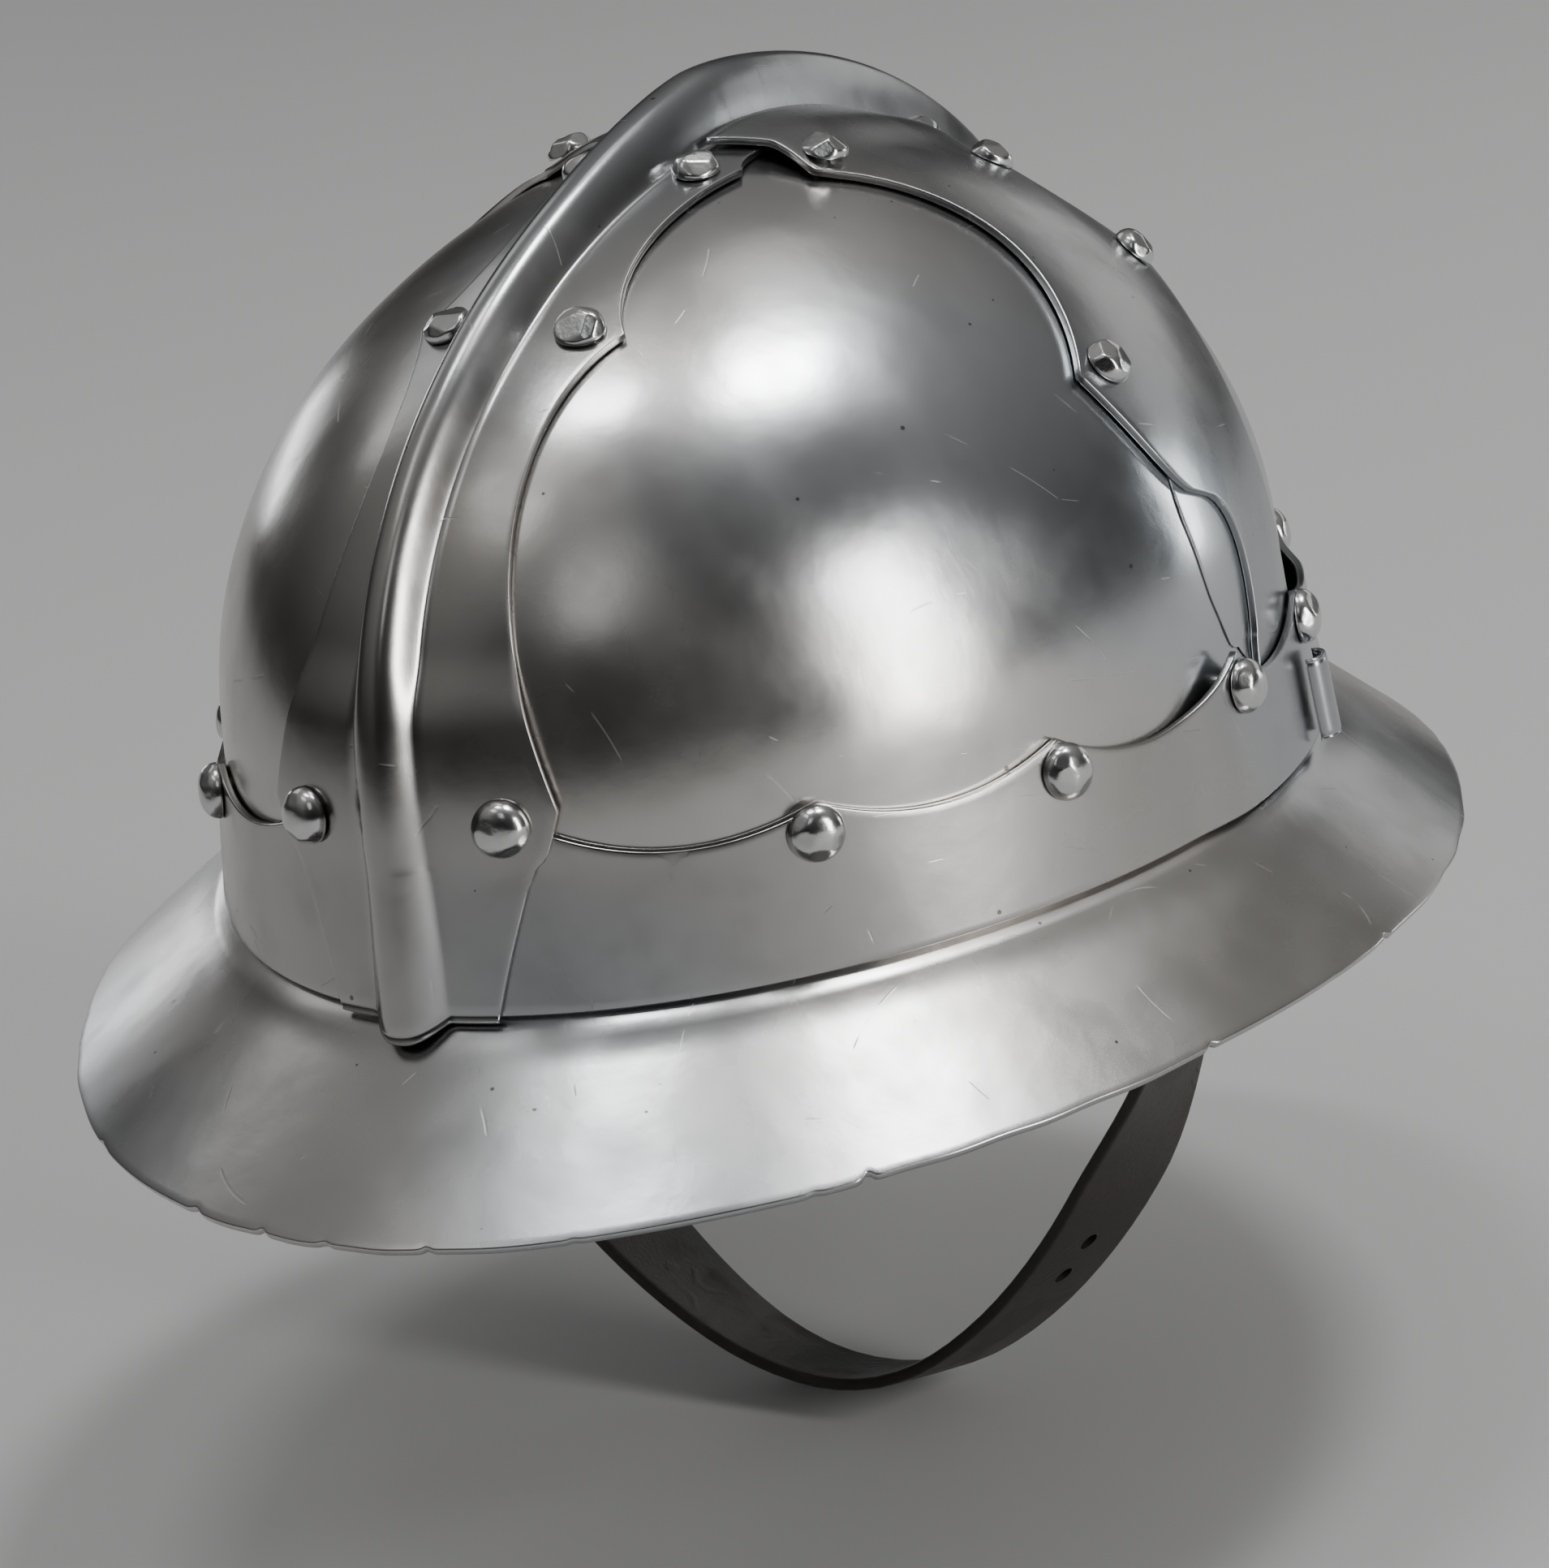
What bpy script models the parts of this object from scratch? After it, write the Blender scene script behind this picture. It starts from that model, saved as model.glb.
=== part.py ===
"""Riveted steel kettle hat with a comb, a wide brim and a leather chin strap.

Metres, +Z up.  The origin is the middle of the head opening, just above the
root of the brim.  The wearer faces -Y, so the rear is +Y and the wearer's
right is -X.  A place on the bowl is a turn (degrees round from the rear
towards the wearer's right) and a lift (degrees up from the top of the wall,
negative down the wall).  On a band that crosses the crown, it is a station
(degrees down from the crown) and an offset to the side.
"""
import math

import bmesh
import bpy
from mathutils import Matrix, Vector

MM = 0.001

# Bowl: an oval wall that flares towards the brim, under a domed crown
HALF_LENGTH = 130.9 * MM
HALF_WIDTH = 103.9 * MM
OVAL_POWER = 1.8
CROWN_POWER = 1.69
WALL_HEIGHT = 26.0 * MM
WALL_FLARE = 3.0 * MM
WALL_LIFT = 12.0
CROWN_RISE = 101.3 * MM
CROWN_FULLNESS = 1.2
CROWN_ROUNDING = 0.9
BOWL_HEART = Vector((0.0, 0.0, 30.0 * MM))

# Sheets: the plates' outer face is depth 0, and a level is one sheet and one gap out
PLATE_THICKNESS = 1.4 * MM
BAND_THICKNESS = 1.6 * MM
BRIM_THICKNESS = 1.8 * MM
GAP = 0.4 * MM
LEVEL = BAND_THICKNESS + GAP
PLATE_HEIGHTS = (4.0, 26.0, 32.0)
PLATE_LIFTS = (18.0, 31.0, 44.0, 57.0, 69.0, 79.0, 90.0)
PLATE_TURN_SKIP = 2
FACET_SAG = 0.8 * MM
PEEN_CLEARANCE = 1.3 * MM
SEAM_HALF = 1.5 * MM

# Brim: a collar inside the plates and a sloping flange
COLLAR_DEPTH = -PLATE_THICKNESS - GAP - FACET_SAG
COLLAR_TOP = 30.0 * MM
BEND_RISE = 1.2 * MM
BEND_DEPTH = -1.2 * MM
BRIM_ROOT = -3.5 * MM
BRIM_REAR = {"reach": 40.2 * MM, "drop": 25.1 * MM}
BRIM_SIDE = {"reach": 27.9 * MM, "drop": 21.4 * MM}
BRIM_FRONT = {"reach": 24.7 * MM, "drop": 21.4 * MM}

# Brow band: its upper edge rises to a cusp above each rivet
BROW_FOOT = -1.9
BROW_SHARES = (0.0, 0.35, 0.7, 1.0)
BROW_EDGE = (
    # turn, height (mm), hollow before the next row (mm), steps to the next row
    (0.0, 40.0, 0.0, 2),
    (11.5, 40.0, 0.0, 1),
    (15.8, 30.6, 4.5, 4),
    (41.2, 28.9, 5.3, 4),
    (65.7, 27.6, 7.7, 4),
    (89.0, 28.0, 0.8, 1),
    (93.2, 20.9, 2.4, 3),
    (107.5, 26.5, 5.0, 4),
    (136.5, 28.2, 4.8, 4),
    (163.8, 30.6, 0.0, 1),
    (168.5, 40.0, 0.0, 2),
    (180.0, 40.0, 0.0, 0),
)
BROW_BULGE = (79.0, 87.0, 121.0, 129.0)

# Comb band: fore and aft over the crown, with a hollow rounded comb
COMB_SECTION = (
    # share of the half base, share of the rise
    (1.0, 0.0),
    (0.84, 0.42),
    (0.5, 0.84),
    (0.0, 1.0),
)
COMB_CREST = (
    # station, half width of the comb's base (mm), crest depth (mm)
    (103.2, 6.6, 9.3),
    (85.0, 5.6, 9.0),
    (60.0, 5.2, 8.6),
    (28.0, 5.6, 9.3),
    (5.0, 7.2, 12.4),
    (-28.0, 7.8, 14.8),
    (-55.0, 7.6, 15.6),
    (-103.2, 7.0, 12.5),
)
COMB_EDGE = (
    # station, half width (mm), then to the next row: pull station, pull half width, steps
    (103.2, 15.8, 98.0, 18.5, 2),
    (92.0, 22.6, 90.2, 24.8, 2),
    (84.5, 28.6, 50.1, 6.9, 7),
    (37.2, 21.5, 28.8, 9.9, 4),
    (10.5, 18.8, 9.0, 16.9, 1),
    (6.5, 17.1, -12.0, 17.8, 4),
    (-32.6, 19.7, -43.4, 12.9, 4),
    (-57.5, 24.1, -67.6, 12.0, 5),
    (-84.5, 28.6, -90.2, 24.8, 2),
    (-92.0, 22.6, -98.0, 18.5, 2),
    (-103.2, 15.8, -103.2, 15.8, 0),
)
COMB_LAP = (49.0, 63.0)
COMB_FOOT_CLEARANCE = 0.6 * MM
COMB_FOOT_STATION = 94.0

# Cross bands: from the comb down to each side, set forward of the middle
CROSS_MIDDLE = -25.0 * MM
CROSS_REAR_EDGE = (
    # station, half width (mm), then to the next row: pull station, pull half width
    (6.6, 36.8, 11.0, 33.4),
    (14.6, 31.0, 18.0, 31.6),
    (20.8, 33.3, 40.1, 4.4),
    (57.4, 36.9, 73.5, 29.8),
    (74.0, 21.0, 76.1, 5.8),
    (92.7, 13.6, 96.0, 14.0),
    (99.0, 15.0, 99.0, 15.0),
)
CROSS_FRONT_EDGE = (
    (6.6, 26.5, 18.4, 26.5),
    (27.6, 29.8, 37.0, 18.0),
    (47.5, 36.5, 68.0, 6.0),
    (89.0, 15.0, 94.0, 15.5),
    (99.0, 16.0, 99.0, 16.0),
)
CROSS_STEP = 8.0
CROSS_SHARES = (-1.0, -0.5, 0.0, 0.5, 1.0)
CROSS_LAP = 2.1
CROSS_SETTLE = (18.0, 33.0)
CROSS_END = 8.9 * MM

# Rivets: head, shank and peened end
ROUND_HEAD = {"radius": 5.5 * MM, "height": 4.5 * MM}
FLAT_HEAD = {"radius": 4.7 * MM, "height": 3.2 * MM}
SHOULDER = (0.74, 0.72)
SHANK_RADIUS = 2.1 * MM
HOLE_RADIUS = 2.8 * MM
HOLE_SIDES = 6
PEEN_RADIUS = 3.5 * MM
PEEN_HEIGHT = 1.1 * MM
RIVET_GAP = 0.32 * MM
RIVET_SIDES = 8
STACKS = {
    "plate": PLATE_THICKNESS + PEEN_CLEARANCE,
    "collar": BRIM_THICKNESS - COLLAR_DEPTH,
    "strap": 9.0 * MM,
}
BROW_RIVETS = (
    # name, turn, height (mm), level of the band, innermost piece
    ("rear", 40.4, 23.8, 1, "collar"),
    ("rear_side", 65.9, 21.2, 1, "collar"),
    ("side_rear", 89.2, 20.9, 2, "strap"),
    ("side_front", 106.6, 21.5, 2, "collar"),
    ("front", 136.5, 20.8, 1, "collar"),
)
COMB_RIVETS = (
    # name, station, offset (mm), level of the band, innermost piece
    ("rear_low", 85.5, 19.4, 2, "plate"),
    ("rear_middle", 37.7, 13.8, 1, "plate"),
    ("rear_high", 12.8, 11.6, 1, "plate"),
    ("front_high", -32.6, 13.6, 1, "plate"),
    ("front_middle", -57.5, 15.6, 1, "plate"),
    ("front_low", -85.5, 19.4, 2, "plate"),
)
CROSS_RIVETS = (
    # name, station, offset from the band's middle (mm), level of the band, innermost piece
    ("rear_high", 19.8, 26.0, 1.4, "plate"),
    ("rear_low", 57.9, 27.8, 1, "plate"),
    ("front_high", 27.2, -23.2, 1, "plate"),
    ("front_low", 47.4, -27.6, 1, "plate"),
)

# Rib over the closing seam of the brow band, on the wearer's right
RIB_TURN = 104.4
RIB_HALF_ANGLE = 1.8
RIB_HEIGHTS = (-1.5, 6.8, 15.1)
RIB_RISE = 3.4 * MM
RIB_THICKNESS = 1.0 * MM
RIB_ARC_STEPS = 6

# Chin strap: a loop in a plane across the head, narrowing to the chin
STRAP_Y = 0.2 * MM
STRAP_WIDTH = 28.0 * MM
STRAP_THICKNESS = 2.5 * MM
STRAP_HALF_SPAN = 96.8 * MM
STRAP_DROP = 142.6 * MM
STRAP_ROUNDING = 26.0 * MM
STRAP_POWER = 1.63
STRAP_TOP = 29.0 * MM
STRAP_LEAN = 0.1
STRAP_STEP = 12.0 * MM
STRAP_TILT = 17.0
STRAP_TILT_START = (77.0 * MM, 122.0 * MM)
STRAP_TILT_END = (215.0 * MM, 290.0 * MM)
STRAP_HOLE_RADIUS = 2.2 * MM
STRAP_HOLES = (137.0 * MM, 147.5 * MM)
STRAP_HOLE_SIDES = 8
STRAP_CURVE_STEPS = 40

# Buckle: a wire frame with its prong, on the wearer's left
BUCKLE_BAR_LIFT = 82.0 * MM
BUCKLE_PITCH = 20.0 * MM
BUCKLE_WIRE = 1.75 * MM
BUCKLE_HALF_WIDTH = 16.5 * MM
BUCKLE_CORNER = 3.0 * MM
BUCKLE_CORNER_STEPS = 2
PRONG_WIRE = 1.3 * MM
PRONG_TIP = 4.0 * MM
PRONG_CREST = 1.6 * MM
PRONG_REST = BUCKLE_WIRE + 0.9 * MM
PRONG_SLOT = 4.4 * MM
SLOT_REACH = 5.2 * MM
SLOT_CUT = 30.0 * MM
FOLD_LENGTH = 15.0 * MM
FOLD_STEPS = 6
FOLD_RADIUS = BUCKLE_WIRE + GAP + STRAP_THICKNESS / 2
TIP_LENGTH = 30.0 * MM
TIP_STEP = 4.5 * MM
DIP_LEAD = 30.0 * MM
DIP_END = 4.0 * MM
CROSSOVER = (2.5 * MM, 1.0 * MM)
SETTLE = (2.0 * MM, 26.0 * MM)

MATERIALS = {
    "steel": {"colour": (0.60, 0.60, 0.61, 1.0), "roughness": 0.22, "metallic": 1.0},
    "rivet_steel": {"colour": (0.68, 0.68, 0.69, 1.0), "roughness": 0.18, "metallic": 1.0},
    "leather": {"colour": (0.028, 0.022, 0.019, 1.0), "roughness": 0.55, "metallic": 0.0},
    "buckle_steel": {"colour": (0.45, 0.45, 0.46, 1.0), "roughness": 0.30, "metallic": 1.0},
}
SMOOTH_ANGLE = math.radians(35.0)


# ---------------------------------------------------------------- scene and materials

def clear_scene():
    for item in list(bpy.data.objects):
        bpy.data.objects.remove(item, do_unlink=True)


def new_collection(name):
    group = bpy.data.collections.new(name)
    bpy.context.scene.collection.children.link(group)
    return group


def new_material(name):
    """A Principled material from its row in MATERIALS."""
    look = MATERIALS[name]
    material = bpy.data.materials.new(name)
    material.use_nodes = True
    shader = material.node_tree.nodes["Principled BSDF"]
    shader.inputs["Base Color"].default_value = look["colour"]
    shader.inputs["Roughness"].default_value = look["roughness"]
    shader.inputs["Metallic"].default_value = look["metallic"]
    return material


def add_part(name, mesh, group, material):
    """A mesh as a named object, shaded smooth up to its real edges."""
    mesh.shade_smooth()
    mesh.set_sharp_from_angle(angle=SMOOTH_ANGLE)
    part = bpy.data.objects.new(name, mesh)
    group.objects.link(part)
    if not mesh.materials:
        mesh.materials.append(material)
    return part


def add_guide(name, mesh, group):
    """A cutter: it shapes other pieces and isn't one itself."""
    guide = bpy.data.objects.new(name, mesh)
    group.objects.link(guide)
    guide.hide_render = True
    guide.display_type = "WIRE"
    return guide


# ---------------------------------------------------------------- shape of the bowl

def smooth_share(value, start, end):
    """0 before start, 1 after end, and an even rise between them."""
    share = min(max((value - start) / (end - start), 0.0), 1.0)
    return share * share * (3.0 - 2.0 * share)


def read_table(table, key, column):
    """A value between the rows of a table whose first column rises or falls evenly."""
    rows = sorted(table, key=lambda row: row[0])
    for before, after in zip(rows, rows[1:]):
        if key <= after[0]:
            share = max((key - before[0]) / (after[0] - before[0]), 0.0)
            return before[column] + (after[column] - before[column]) * share
    return rows[-1][column]


def oval_at(lift):
    """Half length, half width, power and height of the bowl's oval at a lift."""
    if lift < 0.0:
        height = WALL_HEIGHT * (1.0 + lift / WALL_LIFT)
        lean = WALL_FLARE * height / WALL_HEIGHT
        return HALF_LENGTH - lean, HALF_WIDTH - lean, OVAL_POWER, height
    angle = math.radians(lift)
    share = abs(math.cos(angle)) ** CROWN_FULLNESS
    power = CROWN_POWER + (OVAL_POWER - CROWN_POWER) * share
    share = math.copysign(share, math.cos(angle))
    height = WALL_HEIGHT + CROWN_RISE * math.sin(angle) ** CROWN_ROUNDING
    return (HALF_LENGTH - WALL_FLARE) * share, (HALF_WIDTH - WALL_FLARE) * share, power, height


def lift_at(height):
    """The lift of a height above the brim's root."""
    if height < WALL_HEIGHT:
        return WALL_LIFT * (height / WALL_HEIGHT - 1.0)
    share = min((height - WALL_HEIGHT) / CROWN_RISE, 1.0)
    return math.degrees(math.asin(share ** (1.0 / CROWN_ROUNDING)))


def bowl_point(turn, lift):
    """A point on the plates' outer face."""
    length, width, power, height = oval_at(lift)
    side = math.sin(math.radians(turn))
    rear = math.cos(math.radians(turn))
    reach = (abs(side) ** power + abs(rear) ** power) ** (-1.0 / power)
    return Vector((-width * side * reach, length * rear * reach, height))


def bowl_normal(turn, lift):
    """The bowl's outward direction, taken over a few degrees so that the wall's root is eased."""
    if lift > 89.9:
        return Vector((0.0, 0.0, 1.0))
    across = bowl_point(turn + 1.0, lift) - bowl_point(turn - 1.0, lift)
    upward = bowl_point(turn, lift + 1.5) - bowl_point(turn, lift - 1.5)
    return across.cross(upward).normalized()


def sheet_point(turn, lift, depth):
    """A point at a depth outside the plates' outer face."""
    return bowl_point(turn, lift) + bowl_normal(turn, lift) * depth


def turn_at(x, y, lift):
    length, width = oval_at(lift)[:2]
    return math.degrees(math.atan2(-x / width, y / length))


def crossing_place(station, offset, fore_aft):
    """Turn and lift of a place on a band over the crown, fore and aft or across."""
    down = abs(station)
    ahead = math.copysign(1.0, station)
    length, width = HALF_LENGTH - WALL_FLARE, HALF_WIDTH - WALL_FLARE
    if down >= 90.0:
        lift = 90.0 - down
        length, width = oval_at(lift)[:2]
    along, aside = (length, width) if fore_aft else (width, length)
    reach = along * (1.0 - (abs(offset) / aside) ** OVAL_POWER) ** (1.0 / OVAL_POWER)
    if down < 90.0:
        reach *= math.sin(math.radians(down)) ** CROWN_FULLNESS
    x, y = (offset, ahead * reach) if fore_aft else (ahead * reach, offset)
    if down < 90.0:
        lift = lift_over(x, y)
    return turn_at(x, y, min(lift, 89.99)), lift


def lift_over(x, y):
    """The lift at which the bowl passes over a point of the plan, found by halving."""
    low, high = 0.0, 90.0
    for _ in range(40):
        middle = (low + high) / 2.0
        length, width, power, _height = oval_at(middle)
        if (abs(x) / width) ** power + (abs(y) / length) ** power < 1.0:
            low = middle
        else:
            high = middle
    return low


def curve_value(before, after, station):
    """Half width on the curve between two rows of a band's edge, in millimetres."""
    start, pull, end = before[0], before[2], after[0]
    square = start - 2.0 * pull + end
    slope = 2.0 * (pull - start)
    rest = start - station
    if abs(square) < 1e-6:
        share = -rest / slope
    else:
        root = math.sqrt(max(slope * slope - 4.0 * square * rest, 0.0))
        share = min(((-slope + sign * root) / (2.0 * square) for sign in (1.0, -1.0)),
                    key=lambda value: abs(value - 0.5))
    share = min(max(share, 0.0), 1.0)
    keep = 1.0 - share
    return keep * keep * before[1] + 2.0 * keep * share * before[3] + share * share * after[1]


def edge_width(table, station):
    """Half width of a band at a station, in metres."""
    for before, after in zip(table, table[1:]):
        if min(before[0], after[0]) - 1e-9 <= station <= max(before[0], after[0]) + 1e-9:
            return curve_value(before, after, station) * MM
    return table[-1][1] * MM


# ---------------------------------------------------------------- meshes

def grid_mesh(name, rows, closed=False, trims=(), heart=BOWL_HEART):
    """A surface through rows of points, facing away from the heart, trimmed by planes."""
    bm = bmesh.new()
    grid = [[bm.verts.new(point) for point in row] for row in rows]
    for lower, upper in zip(grid, grid[1:]):
        pairs = list(zip(lower, lower[1:], upper, upper[1:]))
        if closed:
            pairs.append((lower[-1], lower[0], upper[-1], upper[0]))
        for first, second, third, fourth in pairs:
            bm.faces.new((first, second, fourth, third))
    bmesh.ops.remove_doubles(bm, verts=bm.verts, dist=0.01 * MM)
    for place, side in trims:
        everything = bm.verts[:] + bm.edges[:] + bm.faces[:]
        bmesh.ops.bisect_plane(bm, geom=everything, plane_co=place, plane_no=side, clear_outer=True)
    bm.normal_update()
    facing = sum(face.normal.dot(face.calc_center_median() - heart) for face in bm.faces)
    if facing < 0.0:
        bmesh.ops.reverse_faces(bm, faces=bm.faces)
    mesh = bpy.data.meshes.new(name)
    bm.to_mesh(mesh)
    bm.free()
    return mesh


def thicken(part, thickness, offset=-1.0):
    """Sheet thickness: offset -1 keeps the modelled face outside, 0 keeps it in the middle."""
    solid = part.modifiers.new("sheet", "SOLIDIFY")
    solid.thickness = thickness
    solid.offset = offset
    solid.use_even_offset = True
    solid.use_quality_normals = True


def pierce(part, cutters):
    holes = part.modifiers.new("holes", "BOOLEAN")
    holes.operation = "DIFFERENCE"
    holes.solver = "EXACT"
    holes.operand_type = "COLLECTION"
    holes.collection = cutters


def turned_mesh(name, profile):
    """A profile of (radius, height) pairs, top to bottom, for a Screw modifier."""
    mesh = bpy.data.meshes.new(name)
    points = [(radius, 0.0, height) for radius, height in profile]
    edges = [(index, index + 1) for index in range(len(points) - 1)]
    mesh.from_pydata(points, edges, [])
    return mesh


def spin(part, sides):
    screw = part.modifiers.new("turned", "SCREW")
    screw.steps = sides
    screw.render_steps = sides
    screw.use_merge_vertices = True
    screw.merge_threshold = 0.01 * MM
    screw.use_smooth_shade = True


# ---------------------------------------------------------------- bowl plates

def plan_turns():
    """Turns of the upright lines that the plates, brow band and brim share."""
    turns = []
    for before, after in zip(BROW_EDGE, BROW_EDGE[1:]):
        steps = before[3]
        turns += [before[0] + (after[0] - before[0]) * step / steps for step in range(steps)]
    return turns + [360.0 - turn for turn in [180.0] + turns[:0:-1]]


def add_plates(group, cutters, material):
    """Four plates whose seams lie under the comb band and the cross bands."""
    lifts = [lift_at(height * MM) for height in PLATE_HEIGHTS] + list(PLATE_LIFTS)
    turns = plan_turns()[::PLATE_TURN_SKIP]
    rows = [[bowl_point(turn, lift) for turn in turns] for lift in lifts]
    for end, rear in (("rear", 1.0), ("front", -1.0)):
        for side, right in (("right", -1.0), ("left", 1.0)):
            trims = (
                (Vector((right * SEAM_HALF, 0.0, 0.0)), Vector((-right, 0.0, 0.0))),
                (Vector((0.0, CROSS_MIDDLE + rear * SEAM_HALF, 0.0)), Vector((0.0, -rear, 0.0))),
            )
            name = f"bowl_plate_{end}_{side}"
            plate = add_part(name, grid_mesh(name, rows, True, trims), group, material)
            thicken(plate, PLATE_THICKNESS)
            pierce(plate, cutters)


# ---------------------------------------------------------------- brim

def brim_value(turn, key):
    """Reach or drop of the brim, blended from the rear or front towards the side."""
    rear = math.cos(math.radians(turn))
    end = BRIM_REAR if rear > 0.0 else BRIM_FRONT
    return BRIM_SIDE[key] + (end[key] - BRIM_SIDE[key]) * rear * rear


def brim_point(turn, share):
    """A point on the brim's upper face, at a share of its reach from the brow band's face."""
    root = sheet_point(turn, lift_at(BRIM_ROOT), LEVEL)
    outward = Vector((root.x, root.y, 0.0)).normalized()
    across = outward * brim_value(turn, "reach") * share
    height = BRIM_ROOT - brim_value(turn, "drop") * share
    return Vector((root.x + across.x, root.y + across.y, height))


def add_brim(group, cutters, material):
    """Collar, bend and sloping flange in one sheet."""
    turns = plan_turns()
    rows = [[sheet_point(turn, lift_at(COLLAR_TOP), COLLAR_DEPTH) for turn in turns], [], []]
    for turn in turns:
        reach = brim_value(turn, "reach")
        slope = brim_value(turn, "drop") / reach
        height = BRIM_ROOT + (LEVEL - COLLAR_DEPTH) * slope + BEND_RISE
        rows[1].append(sheet_point(turn, lift_at(height), COLLAR_DEPTH))
        rows[2].append(brim_point(turn, (BEND_DEPTH - LEVEL) / reach))
    rows.append([brim_point(turn, 1.0) for turn in turns])
    brim = add_part("brim", grid_mesh("brim", rows, True), group, material)
    thicken(brim, BRIM_THICKNESS)
    pierce(brim, cutters)


# ---------------------------------------------------------------- brow band

def brow_height(turn):
    """Height of the brow band's upper edge, in millimetres."""
    turn = min(turn, 360.0 - turn)
    for before, after in zip(BROW_EDGE, BROW_EDGE[1:]):
        if turn <= after[0]:
            share = (turn - before[0]) / (after[0] - before[0])
            sag = before[2] * 4.0 * share * (1.0 - share)
            return before[1] + (after[1] - before[1]) * share - sag
    return BROW_EDGE[-1][1]


def brow_level(turn):
    """The band stands one level further out where it laps over a cross band."""
    turn = min(turn, 360.0 - turn)
    start, full, last, end = BROW_BULGE
    return 1.0 + smooth_share(turn, start, full) - smooth_share(turn, last, end)


def add_brow_band(group, cutters, material):
    rows = []
    for share in BROW_SHARES:
        row = []
        for turn in plan_turns():
            height = BROW_FOOT + (brow_height(turn) - BROW_FOOT) * share
            row.append(sheet_point(turn, lift_at(height * MM), brow_level(turn) * LEVEL))
        rows.append(row)
    band = add_part("brow_band", grid_mesh("brow_band", rows, True), group, material)
    thicken(band, BAND_THICKNESS)
    pierce(band, cutters)


def add_seam_rib(group, material):
    """A short half-round rib over the brow band's closing seam."""
    rows = []
    for height in RIB_HEIGHTS:
        row = []
        for step in range(RIB_ARC_STEPS + 1):
            angle = math.pi * step / RIB_ARC_STEPS
            turn = RIB_TURN + RIB_HALF_ANGLE * math.cos(angle)
            depth = 2.0 * LEVEL + RIB_THICKNESS + GAP + RIB_RISE * math.sin(angle)
            row.append(sheet_point(turn, lift_at(height * MM), depth))
        rows.append(row)
    heart = sheet_point(RIB_TURN, lift_at(RIB_HEIGHTS[1] * MM), 0.0)
    rib = add_part("brow_seam_rib", grid_mesh("brow_seam_rib", rows, heart=heart), group, material)
    thicken(rib, RIB_THICKNESS)


# ---------------------------------------------------------------- comb band

def comb_level(lift):
    """The band rises one level where it laps over the brow band."""
    height = oval_at(lift)[3] / MM
    return 2.0 - smooth_share(height, *COMB_LAP)


def comb_point(station, offset, rise_share):
    """A point on the comb band's outer face, its foot cut to the slope of the brim."""
    turn, lift = crossing_place(station, offset, fore_aft=True)
    flat = comb_level(lift) * LEVEL
    depth = flat + (read_table(COMB_CREST, station, 2) * MM - flat) * rise_share
    point = sheet_point(turn, lift, depth)
    slope = brim_value(turn, "drop") / brim_value(turn, "reach")
    fall = (depth - BAND_THICKNESS - LEVEL) * slope - COMB_FOOT_CLEARANCE
    point.z -= fall * smooth_share(abs(station), COMB_FOOT_STATION, COMB_EDGE[0][0])
    return point


def comb_columns(half_width, half_base):
    """Offsets and rise shares across the comb band, from one edge to the other."""
    ridge = [(half_base * wide, rise) for wide, rise in COMB_SECTION]
    half = [(half_width, 0.0), ((half_width + half_base) / 2.0, 0.0)] + ridge
    return half + [(-offset, rise) for offset, rise in half[-2::-1]]


def comb_stations():
    stations = []
    for before, after in zip(COMB_EDGE, COMB_EDGE[1:]):
        steps = before[4]
        stations += [before[0] + (after[0] - before[0]) * step / steps for step in range(steps)]
    return stations + [COMB_EDGE[-1][0]]


def add_comb_band(group, cutters, material):
    rows = []
    for station in comb_stations():
        half_base = read_table(COMB_CREST, station, 1) * MM
        columns = comb_columns(edge_width(COMB_EDGE, station), half_base)
        rows.append([comb_point(station, offset, rise) for offset, rise in columns])
    band = add_part("comb_band", grid_mesh("comb_band", rows), group, material)
    thicken(band, BAND_THICKNESS)
    pierce(band, cutters)


# ---------------------------------------------------------------- cross bands

def cross_level(x):
    """The band lies over the comb band at the crown and settles on the plates below."""
    return CROSS_LAP - (CROSS_LAP - 1.0) * smooth_share(abs(x) / MM, *CROSS_SETTLE)


def cross_stations():
    """Every corner of both edges, with even steps between them."""
    corners = sorted({row[0] for row in CROSS_REAR_EDGE + CROSS_FRONT_EDGE})
    stations = []
    for start, end in zip(corners, corners[1:]):
        steps = math.ceil((end - start) / CROSS_STEP)
        stations += [start + (end - start) * step / steps for step in range(steps)]
    return stations + [corners[-1]]


def cross_point(station, offset):
    turn, lift = crossing_place(-station, CROSS_MIDDLE + offset, fore_aft=False)
    level = cross_level(bowl_point(turn, lift).x)
    return sheet_point(turn, lift, level * LEVEL)


def add_cross_bands(group, cutters, material):
    rows = []
    for station in cross_stations():
        rear = edge_width(CROSS_REAR_EDGE, station)
        front = edge_width(CROSS_FRONT_EDGE, station)
        rows.append([cross_point(station, (rear if share > 0.0 else front) * share)
                     for share in CROSS_SHARES])
    for side, mirror in (("right", 1.0), ("left", -1.0)):
        name = f"cross_band_{side}"
        flipped = [[Vector((point.x * mirror, point.y, point.z)) for point in row] for row in rows]
        end = (Vector((-mirror * CROSS_END, 0.0, 0.0)), Vector((mirror, 0.0, 0.0)))
        band = add_part(name, grid_mesh(name, flipped, trims=(end,)), group, material)
        thicken(band, BAND_THICKNESS)
        pierce(band, cutters)


# ---------------------------------------------------------------- rivets

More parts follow.
